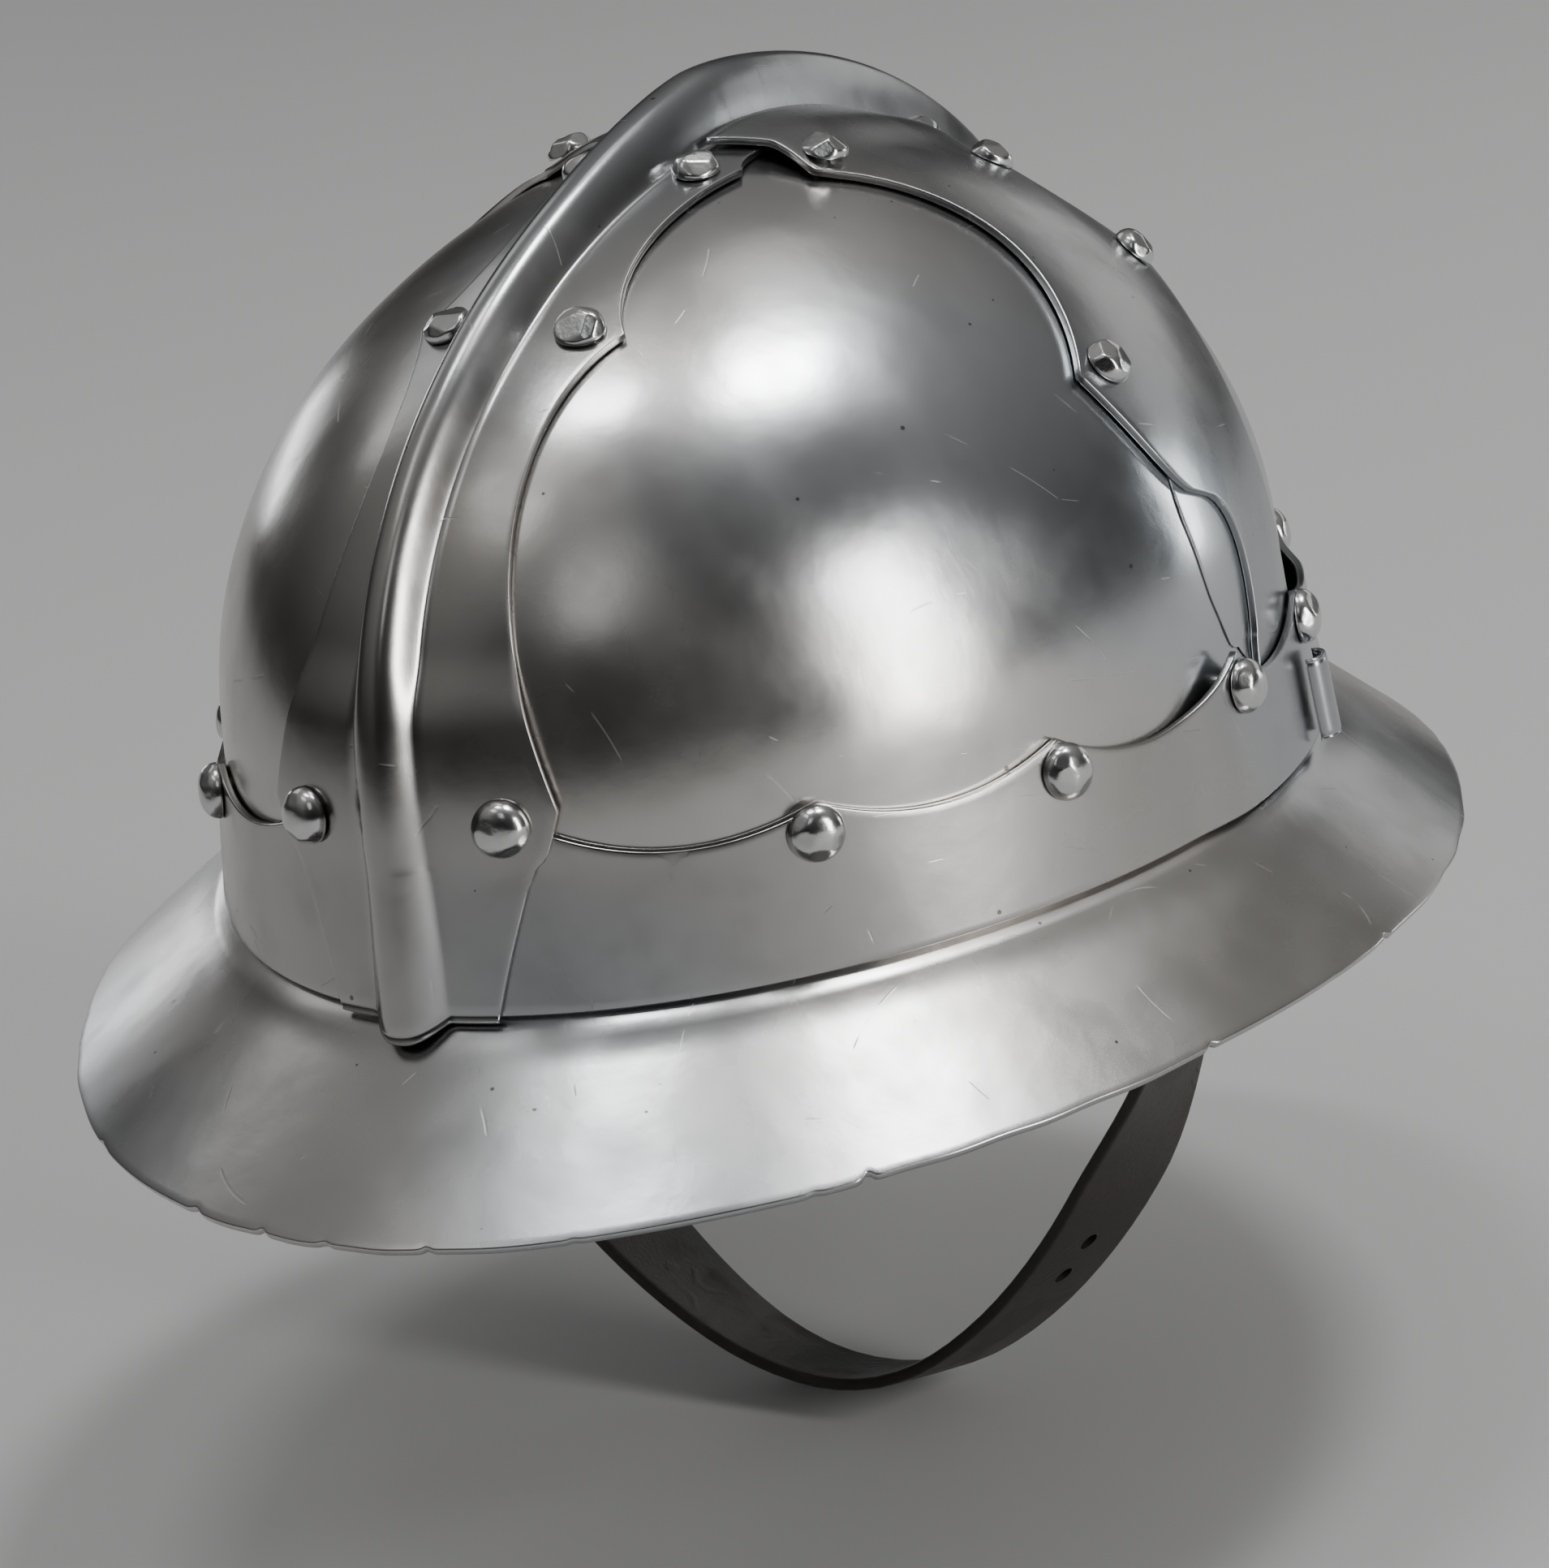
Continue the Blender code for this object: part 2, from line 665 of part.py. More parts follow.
def rivet_profile(head, top, stack):
    """Head, shank and peened end, from the top down; depth 0 is the plates' face."""
    radius, height = head["radius"], head["height"]
    under = -STACKS[stack] - RIVET_GAP
    return (
        (0.0, top + height),
        (radius * SHOULDER[0], top + height * SHOULDER[1]),
        (radius, top),
        (SHANK_RADIUS, top),
        (SHANK_RADIUS, under),
        (PEEN_RADIUS, under),
        (0.0, under - PEEN_HEIGHT),
    )


def rivet_places():
    """Name, head, turn, lift, level and innermost piece of each rivet."""
    places = []
    for side, right in (("right", 1.0), ("left", -1.0)):
        for name, turn, height, level, stack in BROW_RIVETS:
            place = (right * turn, lift_at(height * MM))
            places.append((f"rivet_brow_{name}_{side}", ROUND_HEAD, place, level, stack))
        for name, station, offset, level, stack in COMB_RIVETS:
            place = crossing_place(station, -right * offset * MM, fore_aft=True)
            head = ROUND_HEAD if name.endswith("low") else FLAT_HEAD
            places.append((f"rivet_comb_{name}_{side}", head, place, level, stack))
        for name, station, offset, level, stack in CROSS_RIVETS:
            place = crossing_place(-right * station, CROSS_MIDDLE + offset * MM, fore_aft=False)
            places.append((f"rivet_cross_{name}_{side}", FLAT_HEAD, place, level, stack))
    return places


def stand_on(part, turn, lift):
    """Set a turned piece on the bowl with its axis square to the surface."""
    part.location = bowl_point(turn, lift)
    part.rotation_euler = bowl_normal(turn, lift).to_track_quat("Z", "Y").to_euler()


def add_rivets(group, material):
    meshes = {}
    for name, head, place, level, stack in rivet_places():
        kind = (head["radius"], level, stack)
        if kind not in meshes:
            profile = rivet_profile(head, level * LEVEL + RIVET_GAP, stack)
            meshes[kind] = turned_mesh(f"rivet_{len(meshes)}", profile)
        rivet = add_part(name, meshes[kind], group, material)
        spin(rivet, RIVET_SIDES)
        stand_on(rivet, *place)


def add_rivet_cutters(cutters):
    """One straight cutter for each rivet, through every piece of its stack."""
    reach = 3.0 * LEVEL
    depth = STACKS["strap"] + 2.0 * MM
    profile = ((0.0, reach), (HOLE_RADIUS, reach), (HOLE_RADIUS, -depth), (0.0, -depth))
    mesh = turned_mesh("rivet_hole", profile)
    for name, _head, place, _level, _stack in rivet_places():
        cutter = add_guide(f"hole_{name}", mesh, cutters)
        spin(cutter, HOLE_SIDES)
        stand_on(cutter, *place)


# ---------------------------------------------------------------- chin strap

def loop_outline():
    """The loop's middle line from the right ear to the left, as (x, z) points."""
    quarter = []
    for step in range(STRAP_CURVE_STEPS + 1):
        angle = math.pi / 2.0 * step / STRAP_CURVE_STEPS
        x = STRAP_HALF_SPAN * math.cos(angle) ** (2.0 / STRAP_POWER)
        z = -STRAP_DROP * math.sin(angle) ** (2.0 / STRAP_POWER)
        quarter.append(Vector((x, z)))
    ear = Vector((STRAP_HALF_SPAN - STRAP_LEAN * STRAP_TOP, STRAP_TOP))
    left = [ear] + quarter
    sharp = [Vector((-point.x, point.y)) for point in left] + left[-2::-1]
    return rounded_line(sharp)


def rounded_line(points):
    """The same line with each place averaged over the stretch around it."""
    total = line_length(points)
    rounded = []
    for distance in even_steps(0.0, total, STRAP_STEP / 2.0):
        reach = min(STRAP_ROUNDING, distance, total - distance)
        shares = (-1.0, -0.5, 0.0, 0.5, 1.0)
        around = [walk(points, distance + reach * share)[0] for share in shares]
        rounded.append(sum(around, Vector((0.0, 0.0))) / len(around))
    return rounded


def walk(points, distance):
    """The point and direction at a distance along a line of points."""
    for first, second in zip(points, points[1:]):
        length = (second - first).length
        if distance <= length:
            return first.lerp(second, distance / length), (second - first) / length
        distance -= length
    return points[-1].copy(), (points[-1] - points[-2]).normalized()


def line_length(points):
    return sum((second - first).length for first, second in zip(points, points[1:]))


def loop_place(points, distance, lift=0.0):
    """A place near the loop: along it, and lifted away from the head."""
    before = walk(points, max(distance - STRAP_STEP / 2.0, 0.0))[0]
    after = walk(points, distance + STRAP_STEP / 2.0)[0]
    middle = walk(points, distance)[0]
    heading = (after - before).normalized()
    outward = Vector((heading.y, -heading.x))
    return middle + outward * lift, heading, outward


def strap_tilt(distance):
    """How far the strap's rear edge leans in towards the throat, in radians."""
    lean = smooth_share(distance, *STRAP_TILT_START) - smooth_share(distance, *STRAP_TILT_END)
    return math.radians(STRAP_TILT) * lean


def strip_mesh(name, path):
    """A strap as wide as STRAP_WIDTH along rows of (x, z) middle, outward direction and tilt."""
    edges = []
    for side in (-1.0, 1.0):
        edge = []
        for middle, outward, tilt in path:
            reach = side * STRAP_WIDTH / 2.0
            place = middle - outward * math.sin(tilt) * reach
            edge.append(Vector((place.x, STRAP_Y + math.cos(tilt) * reach, place.y)))
        edges.append(edge)
    return grid_mesh(name, edges)


def even_steps(start, end, step):
    count = max(round(abs(end - start) / step), 1)
    return [start + (end - start) * index / count for index in range(count + 1)]


def buckle_distance(points):
    """Distance along the loop to the bar that the buckle strap is folded round."""
    return line_length(points) - BUCKLE_BAR_LIFT


def tip_lift(distance, bar):
    """The long strap dips under the outer bar and comes up over the folded strap."""
    under = -FOLD_RADIUS
    over = FOLD_RADIUS + STRAP_THICKNESS + GAP
    outer_bar = bar - BUCKLE_PITCH
    if distance < outer_bar:
        return under * smooth_share(distance, outer_bar - DIP_LEAD, outer_bar - DIP_END)
    if distance < bar:
        share = smooth_share(distance, outer_bar + CROSSOVER[0], bar - CROSSOVER[1])
        return under + (over - under) * share
    return over - FOLD_RADIUS * smooth_share(distance, bar + SETTLE[0], bar + SETTLE[1])


def fold_lift(distance, bar):
    """The buckle strap leaves the ear on the loop's line and stands off it at the bar."""
    return FOLD_RADIUS * (1.0 - smooth_share(distance, bar + SETTLE[0], bar + SETTLE[1]))


def strap_cutter(name, points, distance, lift, cutters, radius):
    """A round punch square to the strap."""
    place, _heading, outward = loop_place(points, distance, lift)
    half = 3.0 * STRAP_THICKNESS
    profile = ((0.0, half), (radius, half), (radius, -half), (0.0, -half))
    cutter = add_guide(name, turned_mesh(name, profile), cutters)
    spin(cutter, STRAP_HOLE_SIDES)
    cutter.location = (place.x, STRAP_Y, place.y)
    tilt = strap_tilt(distance)
    facing = Vector((outward.x * math.cos(tilt), math.sin(tilt), outward.y * math.cos(tilt)))
    cutter.rotation_euler = facing.to_track_quat("Z", "Y").to_euler()


def add_chin_strap(group, cutters, points, material):
    """The long strap, from the right ear under the chin to the buckle and past it."""
    bar = buckle_distance(points)
    near = bar - BUCKLE_PITCH - DIP_LEAD
    distances = even_steps(0.0, near, STRAP_STEP)[:-1] + even_steps(near, bar + TIP_LENGTH, TIP_STEP)
    path = []
    for distance in distances:
        middle, _heading, outward = loop_place(points, distance, tip_lift(distance, bar))
        path.append((middle, outward, strap_tilt(distance)))
    strap = add_part("chin_strap", strip_mesh("chin_strap", path), group, material)
    thicken(strap, STRAP_THICKNESS, 0.0)
    pierce(strap, cutters)


def add_buckle_strap(group, cutters, points, material):
    """The short strap, from the left ear down to the buckle and folded round its bar."""
    bar = buckle_distance(points)
    end = line_length(points)
    down = even_steps(end, bar + SETTLE[1], STRAP_STEP)[:-1]
    down += even_steps(bar + SETTLE[1], bar, TIP_STEP)
    centre, heading, outward = loop_place(points, bar)
    path = [loop_place(points, distance, fold_lift(distance, bar))[0] for distance in down]
    for step in range(1, FOLD_STEPS):
        angle = math.pi * step / FOLD_STEPS
        path.append(centre + (outward * math.cos(angle) - heading * math.sin(angle)) * FOLD_RADIUS)
    path += [loop_place(points, distance, -FOLD_RADIUS)[0]
             for distance in even_steps(bar, bar + FOLD_LENGTH, TIP_STEP)]
    path = [(middle, outward, 0.0) for middle in path]
    strap = add_part("buckle_strap", strip_mesh("buckle_strap", path), group, material)
    thicken(strap, STRAP_THICKNESS, 0.0)
    pierce(strap, cutters)


def wire_curve(name, points, radius, cyclic):
    """A round wire through points, as a curve with filled caps."""
    curve = bpy.data.curves.new(name, "CURVE")
    curve.dimensions = "3D"
    curve.bevel_depth = radius
    curve.bevel_resolution = 1
    curve.use_fill_caps = True
    spline = curve.splines.new("POLY")
    spline.points.add(len(points) - 1)
    for index, point in enumerate(points):
        spline.points[index].co = (*point, 1.0)
    spline.use_cyclic_u = cyclic
    return bpy.data.objects.new(name, curve)


def curve_to_mesh(item, group):
    """The same wire as a closed mesh object."""
    group.objects.link(item)
    bpy.context.view_layer.update()
    evaluated = item.evaluated_get(bpy.context.evaluated_depsgraph_get())
    mesh = bpy.data.meshes.new_from_object(evaluated)
    bm = bmesh.new()
    bm.from_mesh(mesh)
    bmesh.ops.remove_doubles(bm, verts=bm.verts, dist=0.01 * MM)
    bm.to_mesh(mesh)
    bm.free()
    bpy.data.objects.remove(item, do_unlink=True)
    return mesh


def buckle_point(points, along, across, lift):
    """A place on the buckle: along the strap from the folded bar, across it and outward."""
    centre, heading, outward = loop_place(points, buckle_distance(points) - BUCKLE_PITCH / 2.0)
    place = centre + heading * (along + BUCKLE_PITCH / 2.0) + outward * lift
    return Vector((place.x, STRAP_Y + across, place.y))


def add_buckle(group, cutters, points, material):
    """A rectangular wire frame and its prong, in one piece."""
    outline = []
    for corner, (inner, side) in enumerate(((1.0, 1.0), (-1.0, 1.0), (-1.0, -1.0), (1.0, -1.0))):
        middle_along = -BUCKLE_PITCH / 2.0 + inner * (BUCKLE_PITCH / 2.0 - BUCKLE_CORNER)
        middle_across = side * (BUCKLE_HALF_WIDTH - BUCKLE_CORNER)
        for step in range(BUCKLE_CORNER_STEPS + 1):
            angle = math.pi / 2.0 * (corner + step / BUCKLE_CORNER_STEPS)
            outline.append(buckle_point(points, middle_along + BUCKLE_CORNER * math.cos(angle),
                                        middle_across + BUCKLE_CORNER * math.sin(angle), 0.0))
    frame_mesh = curve_to_mesh(wire_curve("buckle_frame", outline, BUCKLE_WIRE, True), group)
    prong_line = [buckle_point(points, 0.0, 0.0, 0.0),
                  buckle_point(points, -BUCKLE_PITCH / 2.0, 0.0, PRONG_CREST),
                  buckle_point(points, -BUCKLE_PITCH, 0.0, PRONG_REST),
                  buckle_point(points, -BUCKLE_PITCH - PRONG_TIP, 0.0, PRONG_REST)]
    prong_mesh = curve_to_mesh(wire_curve("prong", prong_line, PRONG_WIRE, False), group)
    buckle = add_part("buckle", frame_mesh, group, material)
    prong = add_guide("prong_wire", prong_mesh, cutters)
    join = buckle.modifiers.new("prong", "BOOLEAN")
    join.operation = "UNION"
    join.solver = "EXACT"
    join.object = prong


def add_strap_cutters(cutters, slots, points):
    """Punched holes of the long strap, and the prong's slot in both straps."""
    for index, distance in enumerate(STRAP_HOLES):
        strap_cutter(f"punch_{index}", points, distance, 0.0, cutters, STRAP_HOLE_RADIUS)
    bar = buckle_distance(points)
    place, heading, outward = loop_place(points, bar - BUCKLE_PITCH / 2.0)
    bm = bmesh.new()
    bmesh.ops.create_cube(bm, size=1.0)
    size = (BUCKLE_PITCH + 2.0 * SLOT_REACH, PRONG_SLOT, SLOT_CUT)
    bmesh.ops.scale(bm, vec=size, verts=bm.verts)
    mesh = bpy.data.meshes.new("prong_slot")
    bm.to_mesh(mesh)
    bm.free()
    slot = add_guide("prong_slot", mesh, slots)
    along = Vector((heading.x, 0.0, heading.y))
    away = Vector((outward.x, 0.0, outward.y))
    basis = Matrix((along, away.cross(along), away)).transposed()
    slot.rotation_euler = basis.to_euler()
    slot.location = (place.x, STRAP_Y, place.y)


# ---------------------------------------------------------------- assembly

def build():
    clear_scene()
    hat = new_collection("kettle_hat")
    cutters = new_collection("cutters")
    slots = new_collection("strap_cutters")
    wires = new_collection("prong_wire")
    steel = new_material("steel")
    leather = new_material("leather")
    points = loop_outline()
    add_rivet_cutters(cutters)
    add_strap_cutters(slots, slots, points)
    add_plates(hat, cutters, steel)
    add_brim(hat, cutters, steel)
    add_brow_band(hat, cutters, steel)
    add_seam_rib(hat, steel)
    add_comb_band(hat, cutters, steel)
    add_cross_bands(hat, cutters, steel)
    add_rivets(hat, new_material("rivet_steel"))
    add_chin_strap(hat, cutters, points, leather)
    add_buckle_strap(hat, cutters, points, leather)
    for name in ("chin_strap", "buckle_strap"):
        pierce(bpy.data.objects[name], slots)
    add_buckle(hat, wires, points, new_material("buckle_steel"))


build()
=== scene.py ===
import math

import bmesh
import bpy
import numpy as np
from mathutils import Matrix, Vector


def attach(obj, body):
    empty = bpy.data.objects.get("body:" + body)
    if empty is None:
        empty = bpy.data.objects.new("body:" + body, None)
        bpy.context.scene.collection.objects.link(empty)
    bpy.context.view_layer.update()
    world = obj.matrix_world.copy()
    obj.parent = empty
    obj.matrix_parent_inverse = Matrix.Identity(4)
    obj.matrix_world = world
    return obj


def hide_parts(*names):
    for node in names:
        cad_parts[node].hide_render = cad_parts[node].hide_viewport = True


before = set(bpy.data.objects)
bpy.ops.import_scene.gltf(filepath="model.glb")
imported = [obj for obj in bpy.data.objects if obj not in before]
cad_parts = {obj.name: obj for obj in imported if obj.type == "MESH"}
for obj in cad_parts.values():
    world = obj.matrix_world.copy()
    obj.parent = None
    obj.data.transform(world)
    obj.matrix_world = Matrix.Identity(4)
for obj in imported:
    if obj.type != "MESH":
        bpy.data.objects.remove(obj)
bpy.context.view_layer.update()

MM = 0.001
SIDES = (("right", 1.0), ("left", -1.0))

# ---- dimensions, in millimetres

# A place on the bowl is a turn round it in degrees, from the rear towards the wearer's right,
# and a lift in degrees, from 0 at the wall's top edge to 90 at the crown. A band over the crown
# has stations in degrees, from 0 at the crown, and offsets in millimetres from its middle.

# Bowl: an oval wall that flares towards the brim, under a domed crown
HALF_LENGTH = 130.9
HALF_WIDTH = 103.9
OVAL_POWER = 1.8
CROWN_POWER = 1.69
WALL_HEIGHT = 26.0
WALL_FLARE = 3.0
WALL_LIFT = 12.0
WALL_EASE = 6.0
CROWN_RISE = 101.3
CROWN_FULLNESS = 1.2
CROWN_ROUNDING = 0.9
POWER_EASE = 0.22
HALVINGS = 36
NORMAL_TOP = 89.9
NORMAL_STEPS = (1.0, 1.5)
LAST_LIFT = 89.99
PLATE_TURNS = 240
PLATE_FOOT_ROWS = (5.0, 26.0, 10)
PLATE_CROWN_ROWS = (1.5, 90.0, 60)
WELD_DISTANCE = 0.01

# Sheets: thicknesses, the step between levels of bands, rounded edges, beaten unevenness
PLATE_THICKNESS = 1.4
BAND_THICKNESS = 1.6
BRIM_THICKNESS = 1.8
GAP = 0.4
LEVEL = BAND_THICKNESS + GAP
SEAM_HALF = 1.5
FACET_SAG = 0.8
EDGE_ROUND = 0.42
EDGE_ANGLES = (0.0, 22.5, 45.0, 67.5, 90.0)
END_ANGLES = (90.0, 60.0, 30.0, 0.0)
SHEET_CENTRE = (0.0, 0.0, 20.0)
BEAT_DEPTH = 0.10
BAND_STEP = 0.9
EDGE_STEP = 0.7
BAND_COLUMNS = 37

# Brim: a collar inside the plates and a flange, with a small fillet and a nicked rim
COLLAR_DEPTH = -PLATE_THICKNESS - GAP - FACET_SAG
COLLAR_TOP = 30.0
BEND_RISE = 1.2
BEND_DEPTH = -1.2
BRIM_ROOT = -3.5
BRIM_REAR = {"reach": 40.2, "drop": 25.1}
BRIM_SIDE = {"reach": 27.9, "drop": 21.4}
BRIM_FRONT = {"reach": 24.7, "drop": 21.4}
BRIM_FILLET = (7.5, 1.3)
FILLET_START = (-1.6, 1.6)
BRIM_WAVES = 3.0
RIM_WEAR = 0.12
NICK_SEED = 5
NICK_COUNT = 46
NICK_DEPTH = 1.2
NICK_WIDTHS = (0.25, 0.7)
BRIM_TURNS = 1080
COLLAR_COLUMNS = 8
FLANGE_COLUMNS = 27
BEND_COLUMNS = (6, 10)
EASING_PASSES = 4

# Brow band
BROW_FOOT = -1.9
BROW_EDGE = (
    # turn, height, hollow before the next row
    (0.0, 40.0, 0.0),
    (11.5, 40.0, 0.0),
    (15.8, 30.6, 4.5),
    (41.2, 28.9, 5.3),
    (65.7, 27.6, 7.7),
    (89.0, 28.0, 0.8),
    (93.2, 20.9, 2.4),
    (107.5, 26.5, 5.0),
    (136.5, 28.2, 4.8),
    (163.8, 30.6, 0.0),
    (168.5, 40.0, 0.0),
    (180.0, 40.0, 0.0),
)
BROW_BULGE = (79.0, 87.0, 121.0, 129.0)
BROW_COLUMNS = 18

# Comb band
COMB_CREST = (
    # station, half width of the comb's base, crest depth
    (103.2, 6.6, 9.3),
    (85.0, 5.6, 9.0),
    (60.0, 5.2, 8.6),
    (28.0, 5.6, 9.3),
    (5.0, 7.2, 12.4),
    (-28.0, 7.8, 14.8),
    (-55.0, 7.6, 15.6),
    (-103.2, 7.0, 12.5),
)
COMB_EDGE = (
    # station, half width, pull station, pull half width
    (103.2, 15.8, 98.0, 18.5),
    (92.0, 22.6, 90.2, 24.8),
    (84.5, 28.6, 50.1, 6.9),
    (37.2, 21.5, 28.8, 9.9),
    (10.5, 18.8, 9.0, 16.9),
    (6.5, 17.1, -12.0, 17.8),
    (-32.6, 19.7, -43.4, 12.9),
    (-57.5, 24.1, -67.6, 12.0),
    (-84.5, 28.6, -90.2, 24.8),
    (-92.0, 22.6, -98.0, 18.5),
    (-103.2, 15.8, -103.2, 15.8),
)
COMB_FLARE = 1.16
COMB_BLUNTNESS = 2.5
COMB_FILLET = 1.45
COMB_FLAT_COLUMNS = 11
CREST_EASE = 7.0
CREST_SAMPLES = 9
COMB_LEAN = {"depth": 2.6, "station": 52.0, "reach": 46.0}
COMB_LAP = (49.0, 63.0)
COMB_FOOT_CLEARANCE = 0.25
COMB_FOOT_STATION = 94.0

# Cross bands: the edges' rows hold station, half width, pull station and pull half width
CROSS_MIDDLE = -25.0
CROSS_REAR_EDGE = (
    (6.6, 36.8, 11.0, 33.4),
    (14.6, 31.0, 18.0, 31.6),
    (20.8, 33.3, 40.1, 4.4),
    (57.4, 36.9, 73.5, 29.8),
    (74.0, 21.0, 76.1, 5.8),
    (92.7, 13.6, 96.0, 14.0),
    (99.0, 15.0, 99.0, 15.0),
)
CROSS_FRONT_EDGE = (
    (6.6, 26.5, 18.4, 26.5),
    (27.6, 29.8, 37.0, 18.0),
    (47.5, 36.5, 68.0, 6.0),
    (89.0, 15.0, 94.0, 15.5),
    (99.0, 16.0, 99.0, 16.0),
)
CROSS_LAP = 2.1
CROSS_SETTLE = (18.0, 33.0)
CROSS_END = 9.2
CROSS_END_STRETCH = 24.0

# Rivets
ROUND_HEAD = {"radius": 5.4, "height": 3.9, "blunt": 0.78, "flats": 6, "beaten": 0.055,
              "uneven": 0.012}
FLAT_HEAD = {"radius": 4.7, "height": 3.4, "blunt": 0.62, "flats": 8, "beaten": 0.15,
             "uneven": 0.035}
RIVET_SEGMENTS = 40
RIVET_RINGS = 16
RIVET_SEED = 7
RIVET_GAP = 0.32
PEEN_RADIUS = 3.5
PEEN_HEIGHT = 1.1
SHANK_RADIUS = 2.1
PEEN_CLEARANCE = 1.3
FLAT_TILTS = (15.0, 62.0)
STACKS = {"plate": PLATE_THICKNESS + PEEN_CLEARANCE, "collar": BRIM_THICKNESS - COLLAR_DEPTH,
          "strap": 9.0}
BROW_RIVETS = (
    # name, turn, height, level of the band, innermost piece
    ("rear", 40.4, 23.8, 1, "collar"),
    ("rear_side", 65.9, 21.2, 1, "collar"),
    ("side_rear", 89.2, 20.9, 2, "strap"),
    ("side_front", 106.6, 21.5, 2, "collar"),
    ("front", 136.5, 20.8, 1, "collar"),
)
COMB_RIVETS = (
    # name, station, offset, level of the band
    ("rear_low", 85.5, 19.4, 2),
    ("rear_middle", 37.7, 13.8, 1),
    ("rear_high", 12.8, 11.6, 1),
    ("front_high", -32.6, 13.6, 1),
    ("front_middle", -57.5, 15.6, 1),
    ("front_low", -85.5, 19.4, 2),
)
CROSS_RIVETS = (
    # name, station, offset from the band's middle, level
    ("rear_high", 19.8, 26.0, 1.4),
    ("rear_low", 57.9, 27.8, 1),
    ("front_high", 27.2, -23.2, 1),
    ("front_low", 47.4, -27.6, 1),
)

# Rib over the brow band's closing seam
RIB_TURN = 104.4
RIB_HALF_ANGLE = 1.8
RIB_HEIGHTS = (-1.5, 15.1)
RIB_RISE = 3.4
RIB_THICKNESS = 1.0
RIB_ROWS = 20
RIB_COLUMNS = 25

# Chin strap: places along it are lengths from the right ear
STRAP_Y = 0.2
STRAP_WIDTH = 28.0
STRAP_THICKNESS = 2.5
STRAP_EDGE = 0.7
STRAP_CUP = 0.15
STRAP_COLUMNS = 17
STRAP_HALF_SPAN = 96.8
STRAP_DROP = 142.6
STRAP_ROUNDING = 26.0
STRAP_POWER = 1.63
STRAP_TOP = 29.0
STRAP_LEAN = 0.1
STRAP_STEP = 12.0
STRAP_TILT = 17.0
STRAP_TILT_START = (77.0, 122.0)
STRAP_TILT_END = (215.0, 290.0)
STRAP_HOLES = (137.0, 147.5)
STRAP_HOLE_SIZE = (2.2, 2.2 * 0.92, 6.0 * STRAP_THICKNESS)
STRAP_HOLE_SIDES = 32
HOLE_SHARP_ANGLE = 50.0
STRAP_CURVE_STEPS = 40
STRAP_ROW = 1.5
STRAP_WORN = 0.35
STRAP_WAVES = 0.15

# Buckle
BUCKLE_BAR_LIFT = 82.0
BUCKLE_PITCH = 20.0
BUCKLE_WIRE = 1.75
BUCKLE_HALF_WIDTH = 16.5
BUCKLE_CORNER = 3.0
PRONG_WIRE = 1.3
PRONG_TIP = 4.0
PRONG_LIFTS = ((0.0, 0.42, 0.83, 1.0), (0.0, 1.6, 2.65, 2.65))
PRONG_TAPER = 0.25
PRONG_ROWS = 30
PRONG_SLOT = 4.4
SLOT_REACH = 5.2
SLOT_DEPTH = 30.0
FOLD_LENGTH = 15.0
FOLD_ROWS = 25
FOLD_RADIUS = BUCKLE_WIRE + GAP + STRAP_THICKNESS / 2
TIP_LENGTH = 30.0
TIP_TAPER = 12.0
TIP_NARROWING = 0.55
DIP_LEAD = 30.0
DIP_END = 4.0
CROSSOVER = (2.5, 1.0)
SETTLE = (2.0, 26.0)
WIRE_SIDES = 20
WIRE_REFERENCE = (0.31, 0.87, 0.38)
CORNER_STEPS = 10

# The rear plates' lap: station and offset of its edge behind the cross band's middle
LAP_EDGE = ((64.0, 22.0), (69.5, 26.8), (74.3, 29.2), (76.7, 28.7), (79.3, 28.1), (82.4, 27.5),
            (84.8, 25.6), (86.7, 22.8), (90.0, 19.5), (92.0, 14.4), (93.7, 8.6))
LAP_HIDDEN = 5.0
LAP_DEPTH = 0.34
LAP_THICKNESS = 0.28
LAP_ROUND = 0.1
LAP_COLUMNS = 16
LAP_CROWDING = 0.7
LAP_SMOOTHING = 3

# ---- looks, light and camera

# Materials: scales of noise are per metre, and colours are linear
SMUDGE_COLOUR = (0.30, 0.29, 0.28, 1.0)
SMUDGE_SHARE = 0.3
SPECK_COLOUR = (0.09, 0.075, 0.065, 1.0)
SPECK_SHARE = 0.8
SPECKS = (210.0, 0.055, 0.83)
SCRATCH_WIDTH = 0.0012
HAIRLINES = 9.0
HAIRLINE_BREAK = (0.6, 0.66)
BRUSHED_WAY = (1.0, 1.0, 0.07)
LEATHER_COLOURS = ((0.006, 0.005, 0.0045, 1.0), (0.028, 0.022, 0.018, 1.0))
RUBBED_COLOUR = (0.05, 0.04, 0.033, 1.0)

